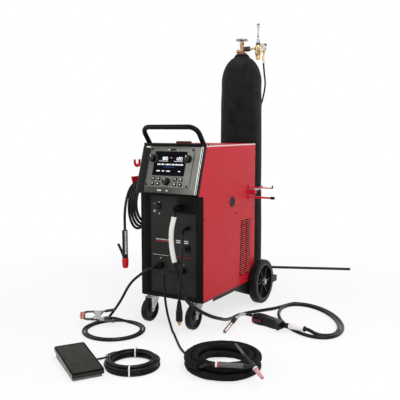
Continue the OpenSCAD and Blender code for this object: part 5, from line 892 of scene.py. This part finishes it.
# The flow regulator with its gauge and its glass tube
regulator = {"x": 107, "y": 770, "outlet": 1482, "stem": 1478, "tubeFoot": 1512, "tubeL": 112,
    "inletX": 54, "bowlX": 147, "hoseX": 144, "gauge": (148, 740, 1478), "ticks": 21, "redFrom": 17,
    "tickR": 18.6, "needle": 128, "needleL": 20}
regX, regY, outletZ, stemZ = (regulator[key] for key in ("x", "y", "outlet", "stem"))
tubeFoot, tubeTop = regulator["tubeFoot"], regulator["tubeFoot"] + regulator["tubeL"] - 8  # below its cap
gaugeAt = np.array(regulator["gauge"], float)
gaugeAxis = gaugeAt, gaugeAt + [0, -1, 0]
inletAxis = (regulator["inletX"], regY, outletZ), (regulator["inletX"] + 1, regY, outletZ)


def regulatorPiece(name, *parts):
    return surfacePiece(name, parts, "cart", "brass", ("flow_regulator",))


def onStem(profile, look, x=regX, **more):
    return upright(profile, x, regY, **more), look


regulatorBody = regulatorPiece("regulatorBody",
    onStem([[0, 1415], [10, 1415], [11, 1416], [11, 1417.5], [13, 1419], [13, 1436], [12.2, 1437], [12.2, 1439],
        [15, 1442], [17, 1446], [17, 1466], [16.2, 1467], [16.2, 1469], [17, 1470], [17, 1491], [16, 1496],
        [12.6, 1499], [12.6, 1500]], "brassFitting"),
    onStem([[12.6, 1499], [13.5, 1500], [13.5, 1511], [12.6, 1512], [10.6, 1512.5], [0, 1512.5]], "darkScrew",
        sides=12),
    (turned([[0, -0.2], [6.5, -0.2], [6.5, 10], [5.6, 12], [5.6, 26], [6.5, 28], [6.5, 36.5], [0, 36.5]],
        *inletAxis), "brassFitting"),
    (turned([[0, 31], [9, 31], [10, 32], [10, 38], [9, 39], [0, 39]], *inletAxis, sides=6), "brassFitting"),
    (turned([[0, 0], [5, 0], [5, 34], [0, 34]], (regX, regY - 8, stemZ), gaugeAt + [0, 14, 0]), "brassFitting"),
    (turned([[0, 10], [6.5, 10], [6.5, 34], [0, 34]], (regX, regY, stemZ), (regX + 1, regY, stemZ)),
        "brassFitting"),
    onStem([[0, 1450], [8, 1450], [9, 1451], [9, 1467], [8, 1468], [0, 1468]], "brassFitting", regulator["bowlX"],
        sides=6),
    onStem([[0, 1467], [8.5, 1467], [8.5, 1489], [7.6, 1490], [3.2, 1490], [3.2, 1476], [0, 1476]], "brassFitting",
        regulator["bowlX"]),
    onStem([[0, 1411], [6, 1411], [7, 1412], [7, 1432], [6, 1433], [0, 1433]], "brassFitting", regulator["hoseX"],
        sides=6),
    onStem([[0, 1400], [4.2, 1400], [5, 1402], [4.3, 1404.4], [5, 1406.5], [4.4, 1409], [5, 1411], [5, 1449],
        [0, 1449]], "brassFitting", regulator["hoseX"]))
gaugeCase = regulatorPiece("gaugeCase",
    (turned([[0, -14], [20.5, -14], [22, -12.6], [22, -1], [23.5, -0.4], [23.5, 2.2], [22.6, 3], [20.4, 3],
        [20, 2.4], [20, 0.6], [0, 0.6]], *gaugeAxis), "brassFitting"))


def dialBar(degrees, middle, out, size, edge, look):  # a bar that lies along a radius of the dial
    q = math.radians(degrees)
    radial = np.array([math.cos(q), 0, math.sin(q)])
    axes = np.array([radial, [0, -1, 0], np.cross(radial, [0, -1, 0])])
    return roundedBlock(gaugeAt + radial * middle + np.array([0, -out, 0]), size, edge, axes, 1), look


dialParts = [(turned([[0, 0.9], [19.9, 0.9], [19.9, 0.5], [0, 0.5]], *gaugeAxis), "dialFace")]
for k in range(regulator["ticks"]):
    length, wide = (2.4, 0.7) if k % 5 else (4.2, 1.1)
    dialParts.append(dialBar(225 - 13.5 * k, regulator["tickR"] - length / 2, 1.0, (length, 0.3, wide), 0.1,
        "redMark" if k >= regulator["redFrom"] else "plugPlastic"))
dialParts += [dialBar(regulator["needle"], 5, 1.5, (regulator["needleL"], 0.4, 1.1), 0.15, "plugPlastic"),
    (turned([[0, 2.0], [2.2, 2.0], [2.2, 0.8], [0, 0.8]], *gaugeAxis, 20), "plugPlastic")]
gaugeDial = regulatorPiece("gaugeDial", *dialParts)
gaugeLens = regulatorPiece("gaugeLens", (turned([[0, 3.6], [8, 3.4], [15, 2.9], [19.9, 2.2], [19.9, 1.9], [15, 2.5],
    [8, 2.9], [0, 3.1]], *gaugeAxis), "glass"))
flowTube = regulatorPiece("flowTube", onStem([[6.4, tubeFoot + 1], [9.6, tubeFoot + 1], [10, tubeFoot + 2],
    [10, tubeTop - 1], [9.6, tubeTop], [6.4, tubeTop], [6, tubeTop - 1], [6, tubeFoot + 2], [6.4, tubeFoot + 1]],
    "tubeGlass", sides=36))
flowInner = regulatorPiece("flowTubeCore",
    onStem([[0, tubeFoot - 1], [2, tubeFoot - 1], [2, tubeTop], [0, tubeTop]], "dialFace", sides=16),
    onStem([[2, 1548], [4.4, 1548.6], [5, 1550], [5, 1553], [4.4, 1554.4], [2, 1555]], "darkScrew", sides=24),  # float
    onStem([[0, tubeTop], [9.6, tubeTop], [10, tubeTop + 0.6], [10, tubeTop + 2], [7.5, tubeTop + 5.5],
        [3.5, tubeTop + 7.7], [0, tubeTop + 8]], "darkScrew"),
    *[onStem([[10.05, h], [10.25, h], [10.25, h + 0.7], [10.05, h + 0.7], [10.05, h]], "darkScrew", sides=36)
        for h in np.linspace(tubeFoot + 18, tubeTop - 14, 5)])
print("regulator made")

# The head: a shell with a rolled left side, the printed plate set into it, a groove round the controls, a bright trim
head = {"left": -187, "right": 190, "roll": 36, "rollDepth": 25, "depth": 26, "cornerLow": 20, "cornerHigh": 8,
    "edge": 5, "rightEdge": 3, "rightCorner": 4, "seat": -4.8, "sunk": 0.4}
plate = {"left": -124.5, "right": 177.6, "low": 3, "high": 243.5, "corner": 5, "rightCorner": 2, "outer": -0.9,
    "inner": 0.0, "back": -4.3, "gap": 0.6, "line": 3.2}
keys = {"x": (-76, -44, 56, 88), "up": (76, 50), "halfW": 9.5, "halfH": 8.5, "floor": -3.9}
window = {"x": 6, "up": 155, "halfW": 93, "halfH": 60.5, "floor": -1.8}
grooveLine = {"left": -117, "right": 141.5, "low": 33, "high": 234.5, "corner": 13, "half": 2.4}


def slabOnFace(xs, ups, height, leftEdge, rightEdge, back):
    # a slab on the slope: its front stands at height(x, up), its back is flat, and its first and last rows
    # are drawn together half way between the two, which closes it
    low, high = leftEdge(ups)[:, None], rightEdge(ups)[:, None]
    x = np.clip(xs[None, :], low, high)
    up = np.broadcast_to(ups[:, None], x.shape)
    out = np.broadcast_to(height(x, up), x.shape)
    flat = np.full(x.shape, float(back))
    loops = [np.concatenate([a, b[:, ::-1], a[:, :1]], axis=1) for a, b in ((x, x), (up, up), (out, flat))]
    middle = (out[[0, -1]] + back) / 2
    ends = np.concatenate([middle, middle[:, ::-1], middle[:, :1]], axis=1)
    x, up, out = (np.vstack([g[:1] if i < 2 else ends[:1], g,
        g[-1:] if i < 2 else ends[1:]]) for i, g in enumerate(loops))
    return faceFoot + x[..., None] * faceAxes[0] + up[..., None] * faceUp + out[..., None] * faceOut


def roundIn(ups, low, high, lowR, highR):  # how far a rounded corner draws an edge in, at each height
    d = np.minimum(np.maximum(lowR - (ups - low), 0), lowR), np.minimum(np.maximum(highR - (high - ups), 0), highR)
    return lowR - np.sqrt(lowR ** 2 - d[0] ** 2) + highR - np.sqrt(highR ** 2 - d[1] ** 2)


def edgeLines(low, high, pitch, edges):  # even lines, with a close pair at each edge so that its wall stands upright
    even = np.arange(low, high + pitch / 2, pitch)
    pairs = np.concatenate([[e - 0.08, e + 0.08] for e in edges])
    return np.unique(np.clip(np.concatenate([even, pairs, [low, high]]), low, high))


def inBox(x, up, cx, cu, halfW, halfH):
    return (np.abs(x - cx) < halfW) & (np.abs(up - cu) < halfH)


def shellHeight(x, up):
    # flat, with an elliptical roll at the left, rounded upper and lower edges, and a seat for the plate
    lean = np.clip((head["left"] + head["roll"] - x) / head["roll"], 0, 1)
    roll = head["rollDepth"] * (1 - np.sqrt(np.maximum(1 - lean ** 2, 0)))
    near = np.clip(head["edge"] - np.minimum(up, face["height"] - up), 0, head["edge"])
    lip = head["edge"] - np.sqrt(head["edge"] ** 2 - near ** 2)
    edge = head["rightEdge"]
    right = np.clip(edge - (head["right"] - x), 0, edge)
    seat = inBox(x, up, (plate["left"] + plate["right"]) / 2, (plate["low"] + plate["high"]) / 2,
        (plate["right"] - plate["left"]) / 2 + plate["gap"], (plate["high"] - plate["low"]) / 2 + plate["gap"])
    return np.where(seat, head["seat"], -roll - lip - (edge - np.sqrt(edge ** 2 - right ** 2)) - head["sunk"])


def plateHeight(x, up):
    # outer field, a raised field inside the groove, wells for the keys and the window, and a broken outer edge
    g = grooveLine
    qx = np.abs(x - (g["left"] + g["right"]) / 2) - (g["right"] - g["left"]) / 2 + g["corner"]
    qu = np.abs(up - (g["low"] + g["high"]) / 2) - (g["high"] - g["low"]) / 2 + g["corner"]
    away = np.hypot(np.maximum(qx, 0), np.maximum(qu, 0)) + np.minimum(np.maximum(qx, qu), 0) - g["corner"]
    rise = np.clip(-away / 2.5, 0, 1)
    out = plate["outer"] + (plate["inner"] - plate["outer"]) * rise * rise * (3 - 2 * rise)
    nearX = np.minimum(x - plate["left"], plate["right"] - x)
    near = np.minimum(nearX, np.minimum(up - plate["low"], plate["high"] - up))
    out = out - 0.9 * np.clip(1 - near / 1.2, 0, 1)
    for keyX in keys["x"]:
        for keyUp in keys["up"]:
            out = np.where(inBox(x, up, keyX, keyUp, keys["halfW"], keys["halfH"]), keys["floor"], out)
    return np.where(inBox(x, up, window["x"], window["up"], window["halfW"], window["halfH"]), window["floor"], out)


quarter = np.linspace(0, np.pi / 2, 7)
rollX = head["left"] + head["roll"] * (1 - np.cos(np.linspace(0, np.pi / 2, 16)))
rightX = head["right"] - head["rightEdge"] * (1 - np.sin(np.linspace(0, np.pi / 2, 6)))
seatX = plate["left"] - plate["gap"], plate["right"] + plate["gap"]
seatUp = plate["low"] - plate["gap"], plate["high"] + plate["gap"]
shellX = np.unique(np.concatenate([rollX, edgeLines(head["left"] + head["roll"], head["right"], 8, seatX), rightX]))
upperEdge = face["height"] - head["edge"]
shellUp = np.unique(np.concatenate([head["edge"] - head["edge"] * np.cos(quarter),
    edgeLines(head["edge"], upperEdge, 6, seatUp), upperEdge + head["edge"] * np.sin(quarter)]))


def shellLeft(ups):
    return head["left"] + roundIn(ups, 0, face["height"], head["cornerLow"], head["cornerHigh"])


def shellRight(ups):
    return head["right"] - roundIn(ups, 0, face["height"], head["rightCorner"], head["rightCorner"])


def plateLeft(ups):
    return plate["left"] + roundIn(ups, plate["low"], plate["high"], plate["corner"], plate["corner"])


def plateRight(ups):
    return plate["right"] - roundIn(ups, plate["low"], plate["high"], plate["rightCorner"], plate["rightCorner"])


shell = slabOnFace(shellX, shellUp, shellHeight, shellLeft, shellRight, -head["depth"])
headShell = surfacePiece("headShell", [(shell, "bezelPlastic")], "cart", "bezel_plastic", ("head_housing",), sharp=30)


def wellEdges(along, half, middle, halfWindow):
    return [c + side * keys[half] for c in keys[along] for side in (-1, 1)] + [middle - halfWindow, middle + halfWindow]


plateX = edgeLines(plate["left"], plate["right"], plate["line"],
    wellEdges("x", "halfW", window["x"], window["halfW"]))
plateUp = edgeLines(plate["low"], plate["high"], plate["line"],
    wellEdges("up", "halfH", window["up"], window["halfH"]))
controlPlate = slabOnFace(plateX, plateUp, plateHeight, plateLeft, plateRight, plate["back"]), "fasciaPrint"


def ringOnFace(left, right, low, high, corner, profile):
    # a closed profile of (outwards from the line, out of the face) pairs carried round a rounded rectangle
    turn = np.radians(np.concatenate([np.linspace(90 * k, 90 * (k + 1), 9) for k in range(4)] + [[0]]))
    signX = np.concatenate([np.repeat([1, -1, -1, 1], 9), [1]])
    signU = np.concatenate([np.repeat([1, 1, -1, -1], 9), [1]])
    spread = np.asarray(profile, float)
    away = corner + spread[None, :, 0]
    x = (left + right) / 2 + signX[:, None] * ((right - left) / 2 - corner) + away * np.cos(turn)[:, None]
    up = (low + high) / 2 + signU[:, None] * ((high - low) / 2 - corner) + away * np.sin(turn)[:, None]
    out = np.broadcast_to(spread[None, :, 1], x.shape)
    return faceFoot + x[..., None] * faceAxes[0] + up[..., None] * faceUp + out[..., None] * faceOut


rim = {"left": -87.6, "right": 99.6, "low": 94, "high": 216, "corner": 3}
half = grooveLine["half"]
grooveRing = (ringOnFace(*(grooveLine[key] for key in rim), [(-half, -1.4), (-half, -0.75), (half, -0.75),
    (half, -1.4), (-half, -1.4)]), "screen")
windowRim = (ringOnFace(*rim.values(), [(-0.6, -1.6), (-0.6, 0.1), (0, 0.35), (1.8, 0.35), (2.4, 0), (2.4, -1.6),
    (-0.6, -1.6)]), "bezelPlastic")
screwProfile = [[0, 0.3], [1.9, 0.3], [2.1, 1.4], [4.1, 1.5], [5.4, 0.8], [5.8, 0], [5.8, -1.4], [0, -1.4]]
faceScrews = [(turned(screwProfile, onFace(x, up, -0.2), onFace(x, up, 0.8), 24), "screen")
    for x, up in ((-111, 229.5), (132, 226), (-115, 43.5), (125.5, 42))]
controlFace = surfacePiece("controlFace", [controlPlate, grooveRing, windowRim, *faceScrews], "cart", "fascia_print",
    ("head_fascia",), sharp=30)

trimStrips = [  # across, out of the face, width, depth, look: two bright lines with a dark one between
    (179.6, -0.4, 3.0, 2.2, "faceTrim"), (183.7, -0.9, 4.6, 1.8, "screen"), (187.2, -0.9, 2.0, 2.2, "faceTrim")]
brow = {"centre": (6.5, 12, 932), "size": (359, 9, 11.5), "edge": 3}
browBlock = roundedBlock(brow["centre"], brow["size"], brow["edge"])
headBrow = surfacePiece("headBrow", [(browBlock, "bezelPlastic")], "cart", "bezel_plastic", sharp=40)
sideTrim = surfacePiece("sideTrim", [(roundedBlock(onFace(x, 124, out), (wide, 243, deep), 0.9, faceAxes), look)
    for x, out, wide, deep, look in trimStrips], "cart", "fascia_print", sharp=40)
print("head made")

# The control face's figures, marks and pointers
display = {"x": 10, "up": 155, "out": -0.18, "digitH": 14, "digitW": 8.4}
segments = {"0": "abcdef", "1": "bc", "2": "abged", "3": "abgcd", "4": "fgbc", "5": "afgcd", "6": "afgedc",
    "7": "abc", "8": "abcdefg", "9": "abfgcd"}


def digitBars(text, x, up, stroke):
    # seven bars stand for one figure: a top, b and c right, d bottom, e and f left, g middle
    height, width, out, bars = display["digitH"], display["digitW"], display["out"], []
    places = {"a": (0, height / 2, 1), "g": (0, 0, 1), "d": (0, -height / 2, 1), "f": (-width / 2, height / 4, 0),
        "b": (width / 2, height / 4, 0), "e": (-width / 2, -height / 4, 0), "c": (width / 2, -height / 4, 0)}
    for figure in text:
        if figure == ".":
            point = onFace(x - 1.2, up - height / 2 + stroke / 2, out)
            bars.append((roundedBlock(point, (stroke, stroke, 0.4), 0.15, faceAxes, 1), "litWhite"))
            x += stroke * 0.9
            continue
        for name in segments[figure]:
            dx, dy, flat = places[name]
            size = (width, stroke, 0.4) if flat else (stroke, height / 2, 0.4)
            middle = onFace(x + width / 2 + dx, up + dy, out)
            bars.append((roundedBlock(middle, size, 0.15, faceAxes, 1), "litWhite"))
        x += width + stroke * 1.9
    return bars


def faceBar(x, up, width, height, out, look, thick=0.4):
    return roundedBlock(onFace(x, up, out), (width, height, thick), min(thick, height) * 0.4, faceAxes, 2), look


def screenBar(x, up, width, height, look="litWhite"):
    return faceBar(display["x"] + x, display["up"] + up, width, height, display["out"], look)


figures = digitBars("180", display["x"] - 58, display["up"] + 26, 3)
figures += digitBars("1.20", display["x"] + 27, display["up"] + 26, 2.8)
figures += [screenBar(-44, 12, 56, 1.5), screenBar(46, 12, 54, 1.5), screenBar(-1, 30, 4, 3),
    screenBar(7, 30, 5, 3, "litRed")]
figures += [screenBar(-73 + k * 8.6 + (k > 4) * 5 + (k > 8) * 4, -5, 6.6 - (k % 3) * 1.4, 6.4) for k in range(17)]
figures += [screenBar(-32 + k * 7, -18, 4.6, 2.8, "litBlue") for k in range(9)]
lowRow = ((-66, 20, 4.6), (-36, 14, 4), (-6, 22, 4), (60, 13, 4))
figures += [screenBar(x, -39, width, height) for x, width, height in lowRow]
screenFigures = surfacePiece("screenFigures", figures, "cart", "screen", sharp=30)

knobs = {"knob_left": (-100, 180), "knob_right": (112, 180), "knob_select": (6, 62)}
dial = {"marks": 11, "r": 24.5, "first": 225, "apart": 27, "pointerAt": 25, "pointerR": 9.8, "pointerOut": 19.45}
faceMarks = [faceBar(*bar) for bar in (  # across, up the slope, width, height, out of the face, look, thickness
    (-139, 239.5, 27, 7.5, 0.0, "paleMark", 0.6), (-10, 227, 9, 5.4, 0.15, "paleMark", 0.3),
    (16, 227, 34, 9, 0.1, "bezelPlastic", 0.3), (42, 224.5, 6, 3, 0.15, "paleMark", 0.3),
    *((-38 + k * 8, 16.5, 6.4, 7.5, -0.75, "paleMark", 0.3) for k in range(3)),
    (15, 16.5, 10, 7, -0.75, "paleMark", 0.3))]
for knobX, knobUp in knobs.values():
    for k in range(dial["marks"]):
        q = math.radians(dial["first"] - dial["apart"] * k)
        cos, sin = math.cos(q), math.sin(q)
        axes = np.array([faceAxes[0] * cos + faceUp * sin, faceUp * cos - faceAxes[0] * sin, faceOut])
        middle = onFace(knobX + cos * dial["r"], knobUp + sin * dial["r"], 0.15)
        faceMarks.append((roundedBlock(middle, (4.2, 1.3, 0.3), 0.1, axes, 1), "paleMark"))
facePrints = surfacePiece("facePrints", faceMarks, "cart", "fascia_print", sharp=30)

# a white pointer on each knob, made larger than the real pointer: the pointer and a painted highlight
for knobName, (knobX, knobUp) in knobs.items():
    q = math.radians(dial["pointerAt"])
    run = faceUp * math.cos(q) - faceAxes[0] * math.sin(q)
    side = faceAxes[0] * math.cos(q) + faceUp * math.sin(q)
    middle = onFace(knobX, knobUp, dial["pointerOut"]) + run * dial["pointerR"]
    bar = roundedBlock(middle, (4.6, 14, 1.9), 0.7, np.array([side, run, faceOut]))
    surfacePiece(knobName + "_pointerAndHighlight", [(bar, "paleMark")], knobName, "knob_plastic")

# A bright mark on the cap of each key: width and height
keyMarks = [(11, 3.6), (6, 7), (6, 7), (8, 8), (11, 3.6), (8, 6), (8, 8), (6, 6)]
for k, (width, height) in enumerate(keyMarks):
    mark = faceBar(keys["x"][k % 4], keys["up"][k // 4], width, height, 3.75, "paleMark", 0.5)
    surfacePiece(f"button_{k + 1}_mark", [mark], f"button_{k + 1}", "knob_plastic")

# The connection panel's stripes, marks and screws, on a face that stands 15 mm behind the cabinet's front
panelY = 15


def panelBar(x, z, width, height, look="paleMark"):
    return roundedBlock((x, panelY - 0.25, z), (width, 0.5, height), 0.2, steps=1), look


panel = [panelBar(-78, 357, 98, 1.7), panelBar(40, 357, 138, 1.9, "redMark"), panelBar(-114, 624, 2.4, 9)]
offMark = {"x": -114, "z": 586, "profile": ((3.6, 15), (3.6, 14.5), (6.2, 14.5), (6.2, 15))}  # radius and depth
angle = np.linspace(0, 2 * np.pi, 25)
panel += [(np.array([[[offMark["x"] + r * math.cos(t), y, offMark["z"] + r * math.sin(t)] for t in angle]
    for r, y in offMark["profile"]]), "paleMark")]
panel += [panelBar(-86, z, 6, 6) for z in (634, 574)]
panel += [panelBar(-101 + k * 11.6, 440, 9.4 - (k % 3) * 1.6, 5.4) for k in range(9)]
panel += [panelBar(-58, 430.5, 94, 3.2, "redMark")]
panel += [panelBar(x, 437 + dz, width, 5) for x, width in ((31, 27), (79, 24)) for dz in (-5, 5)]
panel += [panelBar(x, z, 9, 2.4) for x, z in ((-78, 341), (62, 318))] + [panelBar(-78, 341, 2.4, 9)]
panelPrints = surfacePiece("panelPrints", panel, "cart", "bezel_plastic", sharp=30)
headProfile = [[0, 0.4], [2.2, 0.4], [2.2, -0.6], [3.8, -0.6], [4.4, 0.4], [4.4, 2.4], [3.6, 3.2], [0, 3.2]]
screwParts = [(turned(headProfile, (x, panelY + 0.4, z), (x, panelY - 0.6, z), 20), "darkScrew")
    for x, z in ((-130, 655), (131, 540), (-130, 167), (131, 167))]
panelScrews = surfacePiece("panelScrews", screwParts, "cart", "zinc")
print("face and panel marked")

# The foot control: a rough mat over its ridges, and a black lip round the plate's upper edge
pedal = {"rise": 14, "run": 304, "matHeight": 38.0, "mat": (123, 291, 3.8), "matEdge": 1.4, "matLift": 0.6,
    "lipHalfX": 57.4, "lipHalfY": 142.2, "lipCorner": 8, "lipLift": 0.2, "lipR": 3.2}
pedalWay = np.array([pedalSide, [-math.sin(pedalTurn), math.cos(pedalTurn), 0], [0, 0, 1.0]])
slope = math.atan2(pedal["rise"], pedal["run"])
pedalAxes = np.array([[1, 0, 0], [0, math.cos(slope), math.sin(slope)],
    [0, -math.sin(slope), math.cos(slope)]]) @ pedalWay
matMiddle = pedalAt + np.array([0, 0, pedal["matHeight"]])
lipTurn = np.radians(np.concatenate([np.linspace(90 * k, 90 * k + 90, 7) for k in range(4)]))
lipSide, lipEnd = np.repeat([1, -1, -1, 1], 7), np.repeat([1, 1, -1, -1], 7)
lipRound = np.column_stack([pedal["lipHalfX"] * lipSide + pedal["lipCorner"] * np.cos(lipTurn),
    pedal["lipHalfY"] * lipEnd + pedal["lipCorner"] * np.sin(lipTurn), np.full(len(lipTurn), pedal["lipLift"])])
lipRoute = matMiddle + np.vstack([lipRound, lipRound[:1]]) @ pedalAxes
matBlock = roundedBlock(matMiddle + pedalAxes[2] * pedal["matLift"], pedal["mat"], pedal["matEdge"], pedalAxes)
pedalMat = surfacePiece("pedalMat", [(matBlock, "pedalMat")], "pedal", "pedal_dark", sharp=40)
pedalLip = surfacePiece("pedalLip", [(sweep(lipRoute, pedal["lipR"], 10), "screen")], "pedal", "pedal_dark", sharp=60)
print("foot control dressed")

# The louvres of the right side: two columns of hoods, each with a dark bar under it that is painted shade, over a dark
# sheet behind the slots that is painted shade too;
# a column is where its first hood stands, how far each next hood steps forward, and the length of a hood
louvre = {"rows": 27, "top": 505, "pitch": 11.6, "columns": ((435, 0.6, 60), (496, 0.2, 52)), "proud": 4.2,
    "sheet": 190, "low": 3.2, "mouthShade": 7.6, "mouthShadeDrop": 0.6, "screen": (187.2, 453, 354),
    "shadeSheetSize": (0.9, 118, 322), "bead": (190.6, 540, 368), "beadSize": (2.4, 3.6, 300)}
hoodRun = np.linspace(-1, 1, 11)
hoodSwell = (1 - np.abs(hoodRun) ** 7)[:, None]
hoodX = np.maximum(np.array([-0.4, 1.4, 3.1, louvre["proud"], 3.5, 2.4, -0.4]) * hoodSwell, -0.4)
hoodZ = np.array([7.9, 7.5, 6.4, 5, 4.3, 3.7, 3.2])
hoods = []
for row in range(louvre["rows"]):
    rowZ = louvre["top"] - row * louvre["pitch"]
    for start, drift, length in louvre["columns"]:
        hoodY = np.broadcast_to((start - drift * row + hoodRun * length / 2)[:, None], hoodX.shape)
        hood = np.stack([louvre["sheet"] + hoodX, hoodY,
            rowZ + louvre["low"] + (hoodZ - louvre["low"]) * hoodSwell], axis=-1)
        hoods.append((np.concatenate([hood, hood[:, :1]], axis=1), "louvreHighlightPaint"))
        # a dark bar over the slot under each hood: painted shade
        mouthShade = (louvre["sheet"] + 0.1, start - drift * row, rowZ - louvre["mouthShadeDrop"])
        hoods.append((roundedBlock(mouthShade, (0.9, length - 4, louvre["mouthShade"]), 0.4, steps=1), "screen"))
louvreHoods = surfacePiece("louvreHoods", hoods, "cart", "red_paint", sharp=50)
beadBlock = roundedBlock(louvre["bead"], louvre["beadSize"], 1.0)
# a dark sheet behind the slots: painted shade
shadeSheetBlock = roundedBlock(louvre["screen"], louvre["shadeSheetSize"], 0.4, steps=1)
rearBead = surfacePiece("rearBead", [(beadBlock, "louvreHighlightPaint")], "cart", "red_paint", sharp=50)
louvreShadeSheet = surfacePiece("louvreShadeSheet", [(shadeSheetBlock, "screen")], "cart", "bezel_plastic", sharp=50)
print("louvres made")

# The stage: pale floor, soft light, white behind
lamps = {  # where each lamp stands, what it looks at, its size and its power
    "key": ((2.6, -2.4, 3.0), (0, 0, 0.6), 2.2, 75),
    "fill": ((-3.0, -2.6, 1.8), (0, 0, 0.5), 2.6, 38),
    "top": ((0.2, 0.4, 3.8), (0, 0, 0.4), 2.6, 48),
    "back": ((1.8, 3.2, 2.4), (0, 0.5, 0.8), 2.0, 26)}
for lampName, (at, aim, size, power) in lamps.items():
    lamp = bpy.data.lights.new(lampName, "AREA")
    lamp.energy, lamp.size = power, size
    pointAlong(addToScene(lampName, lamp), at, Vector(aim) - Vector(at))

ground = {"half": 14, "z": -0.0006, "whiteFrom": 1.0, "whiteTo": 2.6, "ambient": 0.42}
floorMesh = bpy.data.meshes.new("floor")
corners = [(x * ground["half"], y * ground["half"], ground["z"]) for x, y in ((-1, -1), (1, -1), (1, 1), (-1, 1))]
floorMesh.from_pydata(corners, [], [(0, 1, 2, 3)])
floor = addToScene("floor", floorMesh)


def seenPlain(tree):  # 1 for a ray from the camera, off metal or through glass, which sees a plain background
    ray = addNode(tree, "ShaderNodeLightPath").outputs
    direct = mathNode(tree, "ADD", ray["Is Camera Ray"], ray["Is Glossy Ray"])
    return mathNode(tree, "ADD", direct, ray["Is Transmission Ray"], True)


def floorLook():
    material, tree, shader, position = newMaterial("floor")
    toned = useGroup(tree, toneSpread, {"Position": position, "Scale": 1.5, "Low": 0.9, "High": 0.93})["Tone"]
    tree.links.new(grey(tree, toned), shader.inputs["Base Color"])
    shader.inputs["Roughness"].default_value = 0.9
    shader.inputs["Specular IOR Level"].default_value = 0.1
    white = addNode(tree, "ShaderNodeEmission", {"Color": (1, 1, 1, 1), "Strength": 1.0})
    reach = addNode(tree, "ShaderNodeVectorMath", {0: position}, operation="LENGTH").outputs["Value"]
    share = addNode(tree, "ShaderNodeMapRange", {"Value": reach, "From Min": ground["whiteFrom"],
        "From Max": ground["whiteTo"], "To Min": 0.74, "To Max": 1.0},
        interpolation_type="SMOOTHSTEP").outputs["Result"]
    mixed = addNode(tree, "ShaderNodeMixShader", {0: mathNode(tree, "MULTIPLY", seenPlain(tree), share),
        1: shader.outputs[0], 2: white.outputs[0]})
    tree.links.new(mixed.outputs[0], tree.nodes["Material Output"].inputs["Surface"])
    return material


floorMesh.materials.append(floorLook())
world = bpy.data.worlds.new("studio")
bpy.context.scene.world = world
world.use_nodes = True
sky = world.node_tree
sky.links.new(mixValue(sky, seenPlain(sky), ground["ambient"], 1.0), sky.nodes["Background"].inputs["Strength"])
sky.nodes["Background"].inputs["Color"].default_value = (1, 1, 1, 1)
bpy.context.scene.view_settings.view_transform = "Standard"
print("stage lit")
